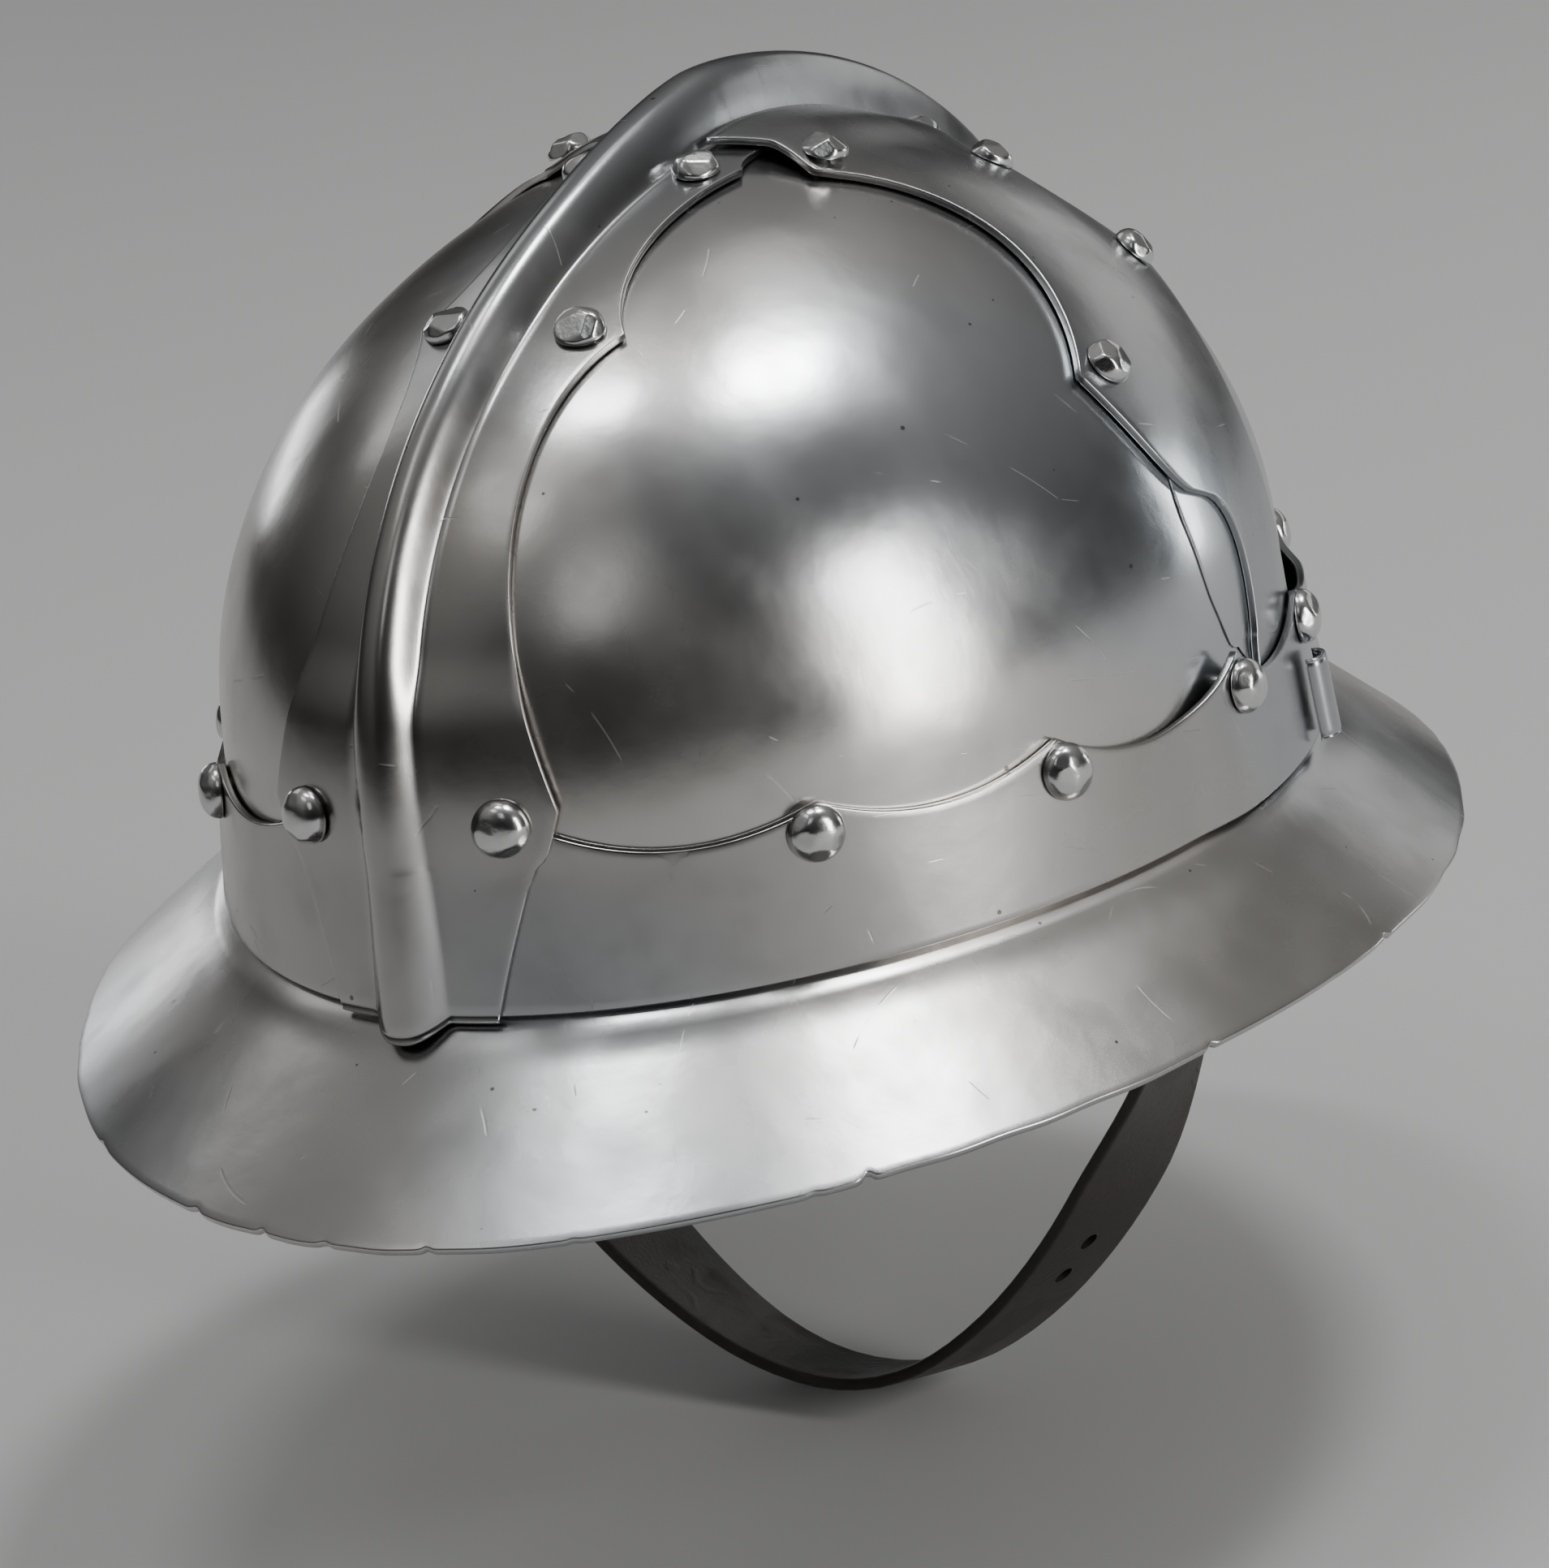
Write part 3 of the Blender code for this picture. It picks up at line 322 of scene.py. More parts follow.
# Soft boxes: name, azimuth, elevation, distance, size in metres, radiance, tint
LIGHT_TARGET = (0.0, 0.0, 0.05)
SOFT_BOXES = (
    ("side", 173.0, 12.0, 2.4, (0.45, 1.9), 15.0, (1.0, 0.985, 0.97)),
    ("high", 115.0, 46.0, 2.4, (0.5, 0.8), 0.9, (0.96, 0.98, 1.0)),
    ("spot", -140.0, 71.0, 2.4, (0.45, 0.45), 27.0, (1.0, 1.0, 1.0)),
    ("overhead", -120.0, 66.0, 2.5, (1.6, 0.6), 0.9, (1.0, 0.99, 0.98)),
    ("zenith", 11.0, 84.0, 2.4, (0.24, 0.55), 20.0, (1.0, 1.0, 1.0)),
    ("top_left", 62.0, 64.0, 2.4, (0.8, 0.45), 1.4, (1.0, 0.99, 0.98)),
    ("far", -125.0, 3.0, 2.2, (0.22, 0.55), 9.0, (0.95, 0.98, 1.0)),
    ("back", -100.0, 14.0, 2.6, (2.0, 0.7), 0.75, (1.0, 0.98, 0.96)),
    ("left", -22.0, 38.0, 2.4, (1.1, 0.7), 0.8, (1.0, 0.99, 0.98)),
    ("left_low", -32.0, 3.0, 2.6, (0.5, 0.22), 6.0, (0.97, 0.98, 1.0)),
)
WORLD_TINT = (1.0, 0.985, 0.97, 1.0)
WORLD_RISE = (0.05, 0.95, 0.03, 0.3)
DARK_SIDE = (-0.72, 0.64, 0.27)
WORLD_SHADE = (0.35, 0.9, 1.0, 0.22)

# Floor and camera, in metres; the lens and its sensor in millimetres
FLOOR_SIZE = 6.0
FLOOR_HEIGHT = -0.1428
FLOOR_GREY = 0.6
FLOOR_ROUGH = 0.8
CAMERA_PLACE = (-0.49472, 0.80060, 0.31353)
CAMERA_RIGHT = (-0.86473, -0.48683, -0.12345)
CAMERA_UP = (0.05689, -0.33916, 0.93901)
CAMERA_LENS = 113.21
SENSOR = 36.0
CLIP_END = 50.0


# ---- shape of the bowl

def eased(value, start, end):
    """A share from 0 to 1 between two values, without a bend at either."""
    share = np.clip((np.asarray(value, float) - start) / (end - start), 0.0, 1.0)
    return share * share * (3.0 - 2.0 * share)


def oval_at(lift):
    """Half length, half width, power and height of the bowl's oval at a lift."""
    lift = np.asarray(lift, float)
    wall = lift < 0.0
    angle = np.radians(np.clip(lift, 0.0, 180.0))
    share = np.abs(np.cos(angle)) ** CROWN_FULLNESS
    power = CROWN_POWER + (OVAL_POWER - CROWN_POWER) * share
    crown = WALL_HEIGHT + CROWN_RISE * np.abs(np.sin(angle)) ** CROWN_ROUNDING
    height = np.where(wall, WALL_HEIGHT * (1.0 + lift / WALL_LIFT), crown)
    below = WALL_HEIGHT - height
    drop = (below + np.sqrt(below * below + WALL_EASE * WALL_EASE)) / 2.0
    lean = WALL_FLARE - WALL_FLARE / WALL_HEIGHT * drop
    scale = np.copysign(share, np.cos(angle))
    return (HALF_LENGTH - lean) * scale, (HALF_WIDTH - lean) * scale, power, height


def lift_at(height):
    height = np.asarray(height, float)
    share = np.clip((height - WALL_HEIGHT) / CROWN_RISE, 0.0, 1.0)
    crown = np.degrees(np.arcsin(share ** (1.0 / CROWN_ROUNDING)))
    return np.where(height < WALL_HEIGHT, WALL_LIFT * (height / WALL_HEIGHT - 1.0), crown)


def eased_power(value, power):
    """A power of the size of a value, without the tight bend that it has at zero."""
    ease = POWER_EASE * POWER_EASE
    low = ease ** (power / 2.0)
    return ((value * value + ease) ** (power / 2.0) - low) / ((1.0 + ease) ** (power / 2.0) - low)


def stacked(*parts):
    return np.stack(np.broadcast_arrays(*parts), axis=-1)


def unit(vectors):
    return vectors / np.maximum(np.linalg.norm(vectors, axis=-1, keepdims=True), 1e-12)


def bowl_point(turn, lift):
    """A point on the plates' outer face."""
    length, width, power, height = oval_at(lift)
    side = np.sin(np.radians(turn))
    rear = np.cos(np.radians(turn))
    reach = (eased_power(side, power) + eased_power(rear, power)) ** (-1.0 / power)
    return stacked(-width * side * reach, length * rear * reach, height)


def bowl_normal(turn, lift):
    lift = np.minimum(lift, NORMAL_TOP)
    aside, up = NORMAL_STEPS
    across = bowl_point(turn + aside, lift) - bowl_point(turn - aside, lift)
    upward = bowl_point(turn, lift + up) - bowl_point(turn, lift - up)
    return unit(np.cross(across, upward))


def beaten(point):
    """How far the beaten sheet stands off its true form, in waves about 70 to 150 mm long."""
    x, y, z = point[..., 0], point[..., 1], point[..., 2]
    waves = np.sin(x / 13.0 + 1.7 * np.sin(y / 21.0)) * np.cos(z / 15.0 + np.sin(x / 31.0))
    waves = waves + 0.7 * np.sin(y / 17.0 - z / 11.0 + 0.6) * np.sin(x / 23.0 + z / 19.0)
    return BEAT_DEPTH * waves


def sheet_point(turn, lift, depth):
    """A point at a depth outside the plates' outer face."""
    point = bowl_point(turn, lift)
    depth = np.asarray(depth, float) + beaten(point)
    return point + bowl_normal(turn, lift) * depth[..., None]


def lift_over(x, y):
    """The lift at which the bowl passes over a point of the plan, found by halving."""
    low, high = np.zeros(x.shape), np.full(x.shape, 90.0)
    for _ in range(HALVINGS):
        middle = (low + high) / 2.0
        length, width, power, _height = oval_at(middle)
        inside = (np.abs(x) / width) ** power + (np.abs(y) / length) ** power < 1.0
        low, high = np.where(inside, middle, low), np.where(inside, high, middle)
    return low


def crossing_place(station, offset, fore_aft):
    """Turn and lift of places on a band over the crown, fore and aft or across."""
    station, offset = np.broadcast_arrays(np.asarray(station, float), np.asarray(offset, float))
    down = np.abs(station)
    ahead = np.copysign(1.0, station)
    length, width = oval_at(np.minimum(90.0 - down, 0.0))[:2]
    along, aside = (length, width) if fore_aft else (width, length)
    reach = along * (1.0 - (np.abs(offset) / aside) ** OVAL_POWER) ** (1.0 / OVAL_POWER)
    reach = reach * np.sin(np.radians(np.minimum(down, 90.0))) ** CROWN_FULLNESS
    x, y = (offset, ahead * reach) if fore_aft else (ahead * reach, offset)
    lift = np.where(down < 90.0, lift_over(x, y), 90.0 - down)
    length, width = oval_at(np.minimum(lift, LAST_LIFT))[:2]
    return np.degrees(np.arctan2(-x / width, y / length)), lift


def curve_value(before, after, station):
    """Half width on the curve between two rows of a band's edge."""
    start, pull, end = before[0], before[2], after[0]
    square = start - 2.0 * pull + end
    slope = 2.0 * (pull - start)
    rest = start - station
    if abs(square) < 1e-6:
        share = -rest / slope
    else:
        root = math.sqrt(max(slope * slope - 4.0 * square * rest, 0.0))
        share = min(((-slope + sign * root) / (2.0 * square) for sign in (1.0, -1.0)),
                    key=lambda value: abs(value - 0.5))
    share = min(max(share, 0.0), 1.0)
    keep = 1.0 - share
    return keep * keep * before[1] + 2.0 * keep * share * before[3] + share * share * after[1]


def edge_width(table, station):
    for before, after in zip(table, table[1:]):
        if min(before[0], after[0]) - 1e-9 <= station <= max(before[0], after[0]) + 1e-9:
            return curve_value(before, after, station)


def stations_between(table, step):
    """The station of each row of a table, with even steps between them."""
    corners = [row[0] for row in table]
    stations = []
    for start, end in zip(corners, corners[1:]):
        count = max(math.ceil(abs(end - start) / step), 2)
        stations += [start + (end - start) * index / count for index in range(count)]
    return np.array(stations + [corners[-1]])


# ---- meshes

def face_outward(bm):
    """Point a closed mesh's faces outward, by the sign of its volume."""
    bmesh.ops.recalc_face_normals(bm, faces=bm.faces)
    if bm.calc_volume(signed=True) < 0.0:
        bmesh.ops.reverse_faces(bm, faces=bm.faces)


def placed(name, data):
    """A new object in the scene."""
    item = bpy.data.objects.new(name, data)
    bpy.context.scene.collection.objects.link(item)
    return item


def make_piece(name, points, faces, material):
    """A piece from points in millimetres, riding on the one body."""
    mesh = bpy.data.meshes.new(name)
    mesh.from_pydata((np.reshape(points, (-1, 3)) * MM).tolist(), [], faces)
    mesh.validate()
    bm = bmesh.new()
    bm.from_mesh(mesh)
    face_outward(bm)
    bm.to_mesh(mesh)
    bm.free()
    mesh.shade_smooth()
    mesh.materials.append(material)
    piece = placed(name, mesh)
    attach(piece, "root")
    return piece


def steps_along(points, around):
    """Steps between the rows before and after each row, closed when they go all round."""
    if around:
        return np.roll(points, -1, axis=0) - np.roll(points, 1, axis=0)
    return np.gradient(points, axis=0)


def edge_arcs(angles, radius):
    """How far out, which is 0 at most, and how far down a rounded edge is at each angle."""
    angles = [math.radians(angle) for angle in angles]
    return [(radius * (math.sin(angle) - 1.0), radius * (1.0 - math.cos(angle)))
            for angle in angles]


def rounded_edge(edge, inner, normal, thickness, radius):
    """Points round a sheet's cut edge, from near its outer face to near its inner one."""
    aside = edge - inner
    aside = unit(aside - normal * np.sum(aside * normal, axis=-1, keepdims=True))
    arcs = edge_arcs(EDGE_ANGLES, radius)
    arcs += [(out, thickness - sink) for out, sink in arcs[::-1]]
    return np.stack([edge + aside * out - normal * sink for out, sink in arcs], axis=1)


def sheet_rings(outer, normal, thickness, radius):
    """Rings round a sheet's section, one for each row of its outer face, and their facing."""
    inner = outer - normal * thickness
    edge = rounded_edge(outer[:, -1], outer[:, -2], normal[:, -1], thickness, radius)
    far = rounded_edge(outer[:, 0], outer[:, 1], normal[:, 0], thickness, radius)
    start = normal[:, [0] * len(EDGE_ANGLES)]
    end = normal[:, [-1] * len(EDGE_ANGLES)]
    facing = [normal[:, 1:-1], end, -end, -normal[:, -2:0:-1], -start, start]
    rings = [outer[:, 1:-1], edge, inner[:, -2:0:-1], far[:, ::-1]]
    return np.concatenate(rings, axis=1), np.concatenate(facing, axis=1)


def rounded_ends(rings, facing, radius):
    """Rings with both ends of the sheet closed in by its edge's radius."""
    ends = []
    for end, near in ((0, 1), (-1, -2)):
        ahead = unit((rings[end] - rings[near]).mean(axis=0))
        ends.append([rings[end] + ahead * out - facing[end] * sink
                     for out, sink in edge_arcs(END_ANGLES, radius)])
    return np.stack(ends[0][::-1] + list(rings[1:-1]) + ends[1])


def ring_faces(rows, size, around=True):
    faces = []
    for row in range(rows if around else rows - 1):
        here, there = row * size, (row + 1) % rows * size
        for index in range(size):
            after = (index + 1) % size
            faces.append((here + index, here + after, there + after, there + index))
    return faces


def end_faces(size, start):
    """Faces across the end of a sheet, between its outer and inner sides."""
    corner = len(EDGE_ANGLES)
    last = size - 2 * corner - 1
    pairs = [(index, last - index) for index in range(-corner, size // 2 - corner)]
    return [tuple(start + place % size for place in (outer, after, inner, before))
            for (outer, before), (after, inner) in zip(pairs, pairs[1:])]


def sheet_piece(name, grid, material, thickness=BAND_THICKNESS, around=False,
                radius=EDGE_ROUND):
    """A sheet of even thickness with rounded edges, from a grid on its outer face."""
    normal = unit(np.cross(steps_along(grid, around), np.gradient(grid, axis=1)))
    if (normal * (grid - SHEET_CENTRE)).sum() < 0.0:
        normal = -normal
    rings, facing = sheet_rings(grid, normal, thickness, radius)
    if not around:
        rings = rounded_ends(rings, facing, radius)
    rows, size = rings.shape[:2]
    faces = ring_faces(rows, size, around)
    if not around:
        faces += end_faces(size, 0) + end_faces(size, (rows - 1) * size)
    return make_piece(name, rings, faces, material)


# ---- materials

class Graph:
    """The node graph of a material or of the world."""

    def __init__(self, owner, place="Object"):
        owner.use_nodes = True
        self.owner = owner
        self.tree = owner.node_tree
        self.place = self.add("ShaderNodeTexCoord").outputs[place]

    def add(self, kind, **settings):
        node = self.tree.nodes.new(kind)
        for key, value in settings.items():
            setattr(node, key, value)
        return node

    def feed(self, node, values):
        for key, value in values.items():
            socket = node.inputs[key]
            if isinstance(value, bpy.types.NodeSocket):
                self.tree.links.new(value, socket)
            else:
                socket.default_value = value
        return node

    def noise(self, scale, detail=3.0, roughness=0.5, stretch=None, distortion=0.0):
        place = self.place
        if stretch:
            place = self.feed(self.add("ShaderNodeMapping"),
                              {"Vector": place, "Scale": stretch}).outputs["Vector"]
        node = self.feed(self.add("ShaderNodeTexNoise"), {
            "Vector": place, "Scale": scale, "Detail": detail, "Roughness": roughness,
            "Distortion": distortion})
        return node.outputs["Fac"]

    def ramp(self, value, low, high, start=0.0, end=1.0):
        node = self.add("ShaderNodeMapRange", interpolation_type="SMOOTHSTEP")
        self.feed(node, {"Value": value, "From Min": low, "From Max": high, "To Min": start,
                         "To Max": end})
        return node.outputs["Result"]

    def math(self, operation, first, second=0.0):
        node = self.feed(self.add("ShaderNodeMath", operation=operation), {0: first, 1: second})
        return node.outputs["Value"]

    def times(self, first, second):
        return self.math("MULTIPLY", first, second)

    def plus(self, first, second):
        return self.math("ADD", first, second)

    def mix(self, share, first, second):
        node = self.add("ShaderNodeMix", data_type="RGBA")
        self.feed(node, {"Factor": share, 6: first, 7: second})
        return node.outputs[2]

    def bump(self, height, distance, strength=1.0, **normal):
        node = self.add("ShaderNodeBump")
        self.feed(node, {"Height": height, "Distance": distance, "Strength": strength, **normal})
        return node.outputs["Normal"]

    def hairline(self, scale, width, breaks):
        """Thin wandering lines, broken into lengths."""
        field = self.times(self.noise(1.0, 0.0, stretch=scale), HAIRLINES)
        near = self.math("ABSOLUTE", self.math("SUBTRACT", self.math("FRACT", field), 0.5))
        line = self.ramp(near, 0.0, width * HAIRLINES, 1.0, 0.0)
        return self.times(line, self.ramp(self.noise(breaks, 1.0), *HAIRLINE_BREAK))

    def spots(self, scale, size, rarity):
        """Small scattered round spots."""
        cells = self.feed(self.add("ShaderNodeTexVoronoi"), {"Vector": self.place, "Scale": scale})
        split = self.feed(self.add("ShaderNodeSeparateColor"), {"Color": cells.outputs["Color"]})
        kept = self.math("GREATER_THAN", split.outputs["Red"], rarity)
        wide = self.times(split.outputs["Green"], size * 2.0)
        return self.times(self.math("LESS_THAN", cells.outputs["Distance"], wide), kept)

    def finish(self, shader="Principled BSDF", **values):
        self.feed(self.tree.nodes[shader],
                  {key.replace("_", " "): value for key, value in values.items()})
        return self.owner


def grey(value, warmth=0.0):
    return (value * (1.0 + warmth), value, value * (1.0 - warmth), 1.0)


def steel_material(name, rough, worn, tone):
    """Polished sheet: cloudy polish, smudges, hairline scratches, specks and pits."""
    graph = Graph(bpy.data.materials.new(name))
    cloud = graph.noise(17.0, 2.0, distortion=0.5)
    smudge = graph.noise(60.0, 3.0, distortion=0.2)
    tint = graph.ramp(graph.noise(9.0, 1.0), 0.38, 0.62)
    colour = graph.mix(tint, grey(tone * 0.96, -0.04), grey(tone, 0.035))
    smudged = graph.times(graph.ramp(smudge, 0.45, 0.8), SMUDGE_SHARE * worn)
    colour = graph.mix(smudged, colour, SMUDGE_COLOUR)
    speck = graph.spots(*SPECKS)
    colour = graph.mix(graph.times(speck, SPECK_SHARE), colour, SPECK_COLOUR)
    scratches = graph.math("MAXIMUM", graph.hairline((7.0, 11.0, 4.0), SCRATCH_WIDTH, 70.0),
                           graph.hairline((9.0, 5.0, 14.0), SCRATCH_WIDTH, 110.0))
    rough = graph.plus(graph.ramp(cloud, 0.32, 0.7, rough - 0.035, rough + 0.05),
                       graph.ramp(smudge, 0.35, 0.8, 0.0, 0.08 * worn))
    rough = graph.plus(rough, graph.times(scratches, 0.12))
    brushed = graph.noise(520.0, 3.0, 0.6, stretch=BRUSHED_WAY)
    pebbled = graph.noise(150.0, 4.0, 0.55)
    height = graph.plus(graph.times(brushed, 0.10), graph.times(pebbled, 0.5))
    height = graph.math("SUBTRACT", height, graph.times(scratches, 0.25 * worn))
    height = graph.math("SUBTRACT", height, graph.times(speck, 0.6))
    fine = graph.bump(height, 0.00012, 0.55)
    normal = graph.bump(graph.noise(38.0, 2.0), 0.0005, 0.35, Normal=fine)
    return graph.finish(Base_Color=colour, Metallic=1.0, Roughness=rough, Normal=normal)


def rivet_material():
    graph = Graph(bpy.data.materials.new("rivet_steel"))
    colour = graph.mix(graph.noise(500.0, 3.0, 0.6), grey(0.55), grey(0.7))
    normal = graph.bump(graph.noise(700.0, 2.0), 0.0001, 0.5)
    return graph.finish(Base_Color=colour, Metallic=1.0, Roughness=0.2, Normal=normal)


def leather_material():
    """Dark oiled leather: pebbled grain, fine creases, rubbed patches."""
    graph = Graph(bpy.data.materials.new("strap_leather"))
    grain = graph.noise(850.0, 4.0, 0.6)
    rubbed = graph.ramp(graph.noise(45.0, 3.0, 0.6), 0.45, 0.75)
    colour = graph.mix(grain, *LEATHER_COLOURS)
    colour = graph.mix(graph.times(rubbed, 0.5), colour, RUBBED_COLOUR)
    rough = graph.ramp(rubbed, 0.0, 1.0, 0.42, 0.62)
    height = graph.plus(grain, graph.hairline((60.0, 50.0, 70.0), 0.03, 60.0))
    normal = graph.bump(height, 0.00018, 0.6)
    return graph.finish(Base_Color=colour, Metallic=0.0, Roughness=rough, Normal=normal)


# ---- bowl, brim and bands

def add_plates(material):
    """Four plates whose seams lie under the bands."""
    turns = np.linspace(0.0, 360.0, PLATE_TURNS, endpoint=False)
    foot, crown = np.linspace(*PLATE_FOOT_ROWS), np.linspace(*PLATE_CROWN_ROWS)
    lifts = np.concatenate([lift_at(foot), crown])
    grid = sheet_point(turns, lifts[:, None], 0.0)
    faces = ring_faces(len(lifts), len(turns), False)
    for end, rear in (("rear", 1.0), ("front", -1.0)):
        for side, right in SIDES:
            piece = make_piece(f"plate_{end}_{side}", grid, faces, material)
            bm = bmesh.new()
            bm.from_mesh(piece.data)
            for place, facing in (((-right * SEAM_HALF, 0.0, 0.0), (right, 0.0, 0.0)),
                                  ((0.0, CROSS_MIDDLE + rear * SEAM_HALF, 0.0), (0.0, -rear, 0.0))):
                bmesh.ops.bisect_plane(bm, geom=bm.verts[:] + bm.edges[:] + bm.faces[:],
                                       plane_co=Vector(place) * MM, plane_no=facing,
                                       clear_outer=True)
            bmesh.ops.remove_doubles(bm, verts=bm.verts, dist=WELD_DISTANCE * MM)
            bmesh.ops.recalc_face_normals(bm, faces=bm.faces)
            face = max(bm.faces, key=lambda item: abs(item.calc_center_median().x))
            if face.normal.x * face.calc_center_median().x < 0.0:
                bmesh.ops.reverse_faces(bm, faces=bm.faces)
            bm.to_mesh(piece.data)
            bm.free()
            solid = piece.modifiers.new("sheet", "SOLIDIFY")
            solid.thickness = PLATE_THICKNESS * MM
            solid.offset = -1.0
            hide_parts(f"bowl_plate_{end}_{side}")


def brim_value(turn, key):
    rear = np.cos(np.radians(turn))
    end = np.where(rear > 0.0, BRIM_REAR[key], BRIM_FRONT[key])
    return BRIM_SIDE[key] + (end - BRIM_SIDE[key]) * rear * rear


def brim_point(turn, share):
    root = sheet_point(turn, lift_at(BRIM_ROOT), LEVEL)
    away = brim_value(turn, "reach") * share
    point = root + unit(root * (1.0, 1.0, 0.0)) * away[..., None]
    near = np.clip(1.0 - away / BRIM_FILLET[0], 0.0, 1.0) ** 2 * eased(away, *FILLET_START)
    height = BRIM_ROOT - brim_value(turn, "drop") * share + BRIM_FILLET[1] * near
    point[..., 2] = height + BRIM_WAVES * beaten(root) * np.maximum(share, 0.0)
    return point


def nicked_edge(turns):
    """How far the rim is worn back, with small nicks at uneven places."""
    random = np.random.RandomState(NICK_SEED)
    around = np.radians(turns)
    worn = RIM_WEAR * (1.0 + np.sin(around * 31.0 + np.sin(around * 7.0) * 3.0))
    for _ in range(NICK_COUNT):
        place, width = random.uniform(0.0, 360.0), random.uniform(*NICK_WIDTHS)
        depth = random.rand()
        away = (turns - place + 180.0) % 360.0 - 180.0
        worn = worn + NICK_DEPTH * depth ** 2 * np.exp(-(away / width) ** 2)
    return worn


def eased_columns(grid, first, last):
    """A grid with a few of its columns averaged, to round a bend."""
    for _ in range(EASING_PASSES):
        grid[:, first:last] = (grid[:, first - 1:last - 1] + grid[:, first:last] * 2.0
                               + grid[:, first + 1:last + 1]) / 4.0
    return grid


def add_brim(material):
    turns = np.linspace(0.0, 360.0, BRIM_TURNS, endpoint=False)
    reach = brim_value(turns, "reach")
    worn = nicked_edge(turns) / reach
    bend = BRIM_ROOT + (LEVEL - COLLAR_DEPTH) * brim_value(turns, "drop") / reach + BEND_RISE
    collar = [sheet_point(turns, lift_at(COLLAR_TOP + (bend - COLLAR_TOP) * share), COLLAR_DEPTH)
              for share in np.linspace(0.0, 1.0, COLLAR_COLUMNS)]
    start = (BEND_DEPTH - LEVEL) / reach
    flange = [brim_point(turns, start + (1.0 - start) * share - worn * share ** 6)
              for share in np.linspace(0.0, 1.0, FLANGE_COLUMNS)]
    grid = eased_columns(np.stack(collar + flange, axis=1), *BEND_COLUMNS)
    piece = sheet_piece("brim_sheet", grid, material, BRIM_THICKNESS, around=True)
    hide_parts("brim")


def brow_height(turn):
    turn = min(turn, 360.0 - turn)
    for before, after in zip(BROW_EDGE, BROW_EDGE[1:]):
        if turn <= after[0]:
            share = (turn - before[0]) / (after[0] - before[0])
            sag = before[2] * 4.0 * share * (1.0 - share)
            return before[1] + (after[1] - before[1]) * share - sag


def brow_level(turn):
    turn = np.minimum(turn, 360.0 - turn)
    start, full, last, end = BROW_BULGE
    return 1.0 + eased(turn, start, full) - eased(turn, last, end)


def add_brow_band(material):
    half = stations_between(BROW_EDGE, EDGE_STEP)
    turns = np.concatenate([half, 360.0 - half[-2:0:-1]])
    top = np.array([brow_height(turn) for turn in turns])
    shares = np.linspace(0.0, 1.0, BROW_COLUMNS)
    heights = BROW_FOOT + (top - BROW_FOOT)[:, None] * shares
    depth = (brow_level(turns) * LEVEL)[:, None]
    grid = sheet_point(turns[:, None], lift_at(heights), depth)
    piece = sheet_piece("brow_band_sheet", grid, material, around=True)
    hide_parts("brow_band")


def crest_value(station, column):
    """Half width of the comb's base or depth of its crest, smoothed between the rows."""
    rows = sorted(COMB_CREST)
    places = station[..., None] + np.linspace(-CREST_EASE, CREST_EASE, CREST_SAMPLES)
    return np.interp(places, [row[0] for row in rows], [row[column] for row in rows]).mean(axis=-1)


def comb_lean(station):
    """How far the comb wanders to the wearer's left of the bowl's middle."""
    share = np.clip((station - COMB_LEAN["station"]) / COMB_LEAN["reach"], -1.0, 1.0)
    return COMB_LEAN["depth"] * (1.0 - share * share) ** 2


def comb_point(station, offset):
    """A point on the band: flat outside the comb's base, full at its crest."""
    turn, lift = crossing_place(station, offset, True)
    flat = (2.0 - eased(oval_at(lift)[3], *COMB_LAP)) * LEVEL
    aside = np.abs(offset - comb_lean(station)) / crest_value(station, 1) / COMB_FLARE
    rise = (1.0 - np.clip(aside, 0.0, 1.0) ** COMB_BLUNTNESS) ** COMB_FILLET
    depth = flat + (crest_value(station, 2) - flat) * rise
    point = sheet_point(turn, lift, depth)
    slope = brim_value(turn, "drop") / brim_value(turn, "reach")
    fall = (depth - BAND_THICKNESS - LEVEL) * slope - COMB_FOOT_CLEARANCE
    point[..., 2] -= fall * eased(np.abs(station), COMB_FOOT_STATION, COMB_EDGE[0][0])
    return point


def add_comb_band(material):
    stations = stations_between(COMB_EDGE, BAND_STEP)
    half = np.array([edge_width(COMB_EDGE, station) for station in stations])[:, None]
    stations = stations[:, None]
    base = crest_value(stations, 1) * COMB_FLARE
    lean = comb_lean(stations)
    ridge = np.linspace(-1.0, 1.0, BAND_COLUMNS)
    flat = np.linspace(0.0, 1.0, COMB_FLAT_COLUMNS)
    right = -half + (half + lean - base) * flat
    left = half + (lean + base - half) * flat[::-1]
    offsets = np.concatenate([right[:, :-1], lean + base * ridge, left[:, 1:]], axis=1)
    grid = comb_point(stations, offsets)
    piece = sheet_piece("comb_band_sheet", grid, material)
    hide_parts("comb_band")


def cross_point(station, offset):
    turn, lift = crossing_place(-station, CROSS_MIDDLE + offset, False)
    settled = eased(np.abs(bowl_point(turn, lift)[..., 0]), *CROSS_SETTLE)
    return sheet_point(turn, lift, (CROSS_LAP - (CROSS_LAP - 1.0) * settled) * LEVEL)


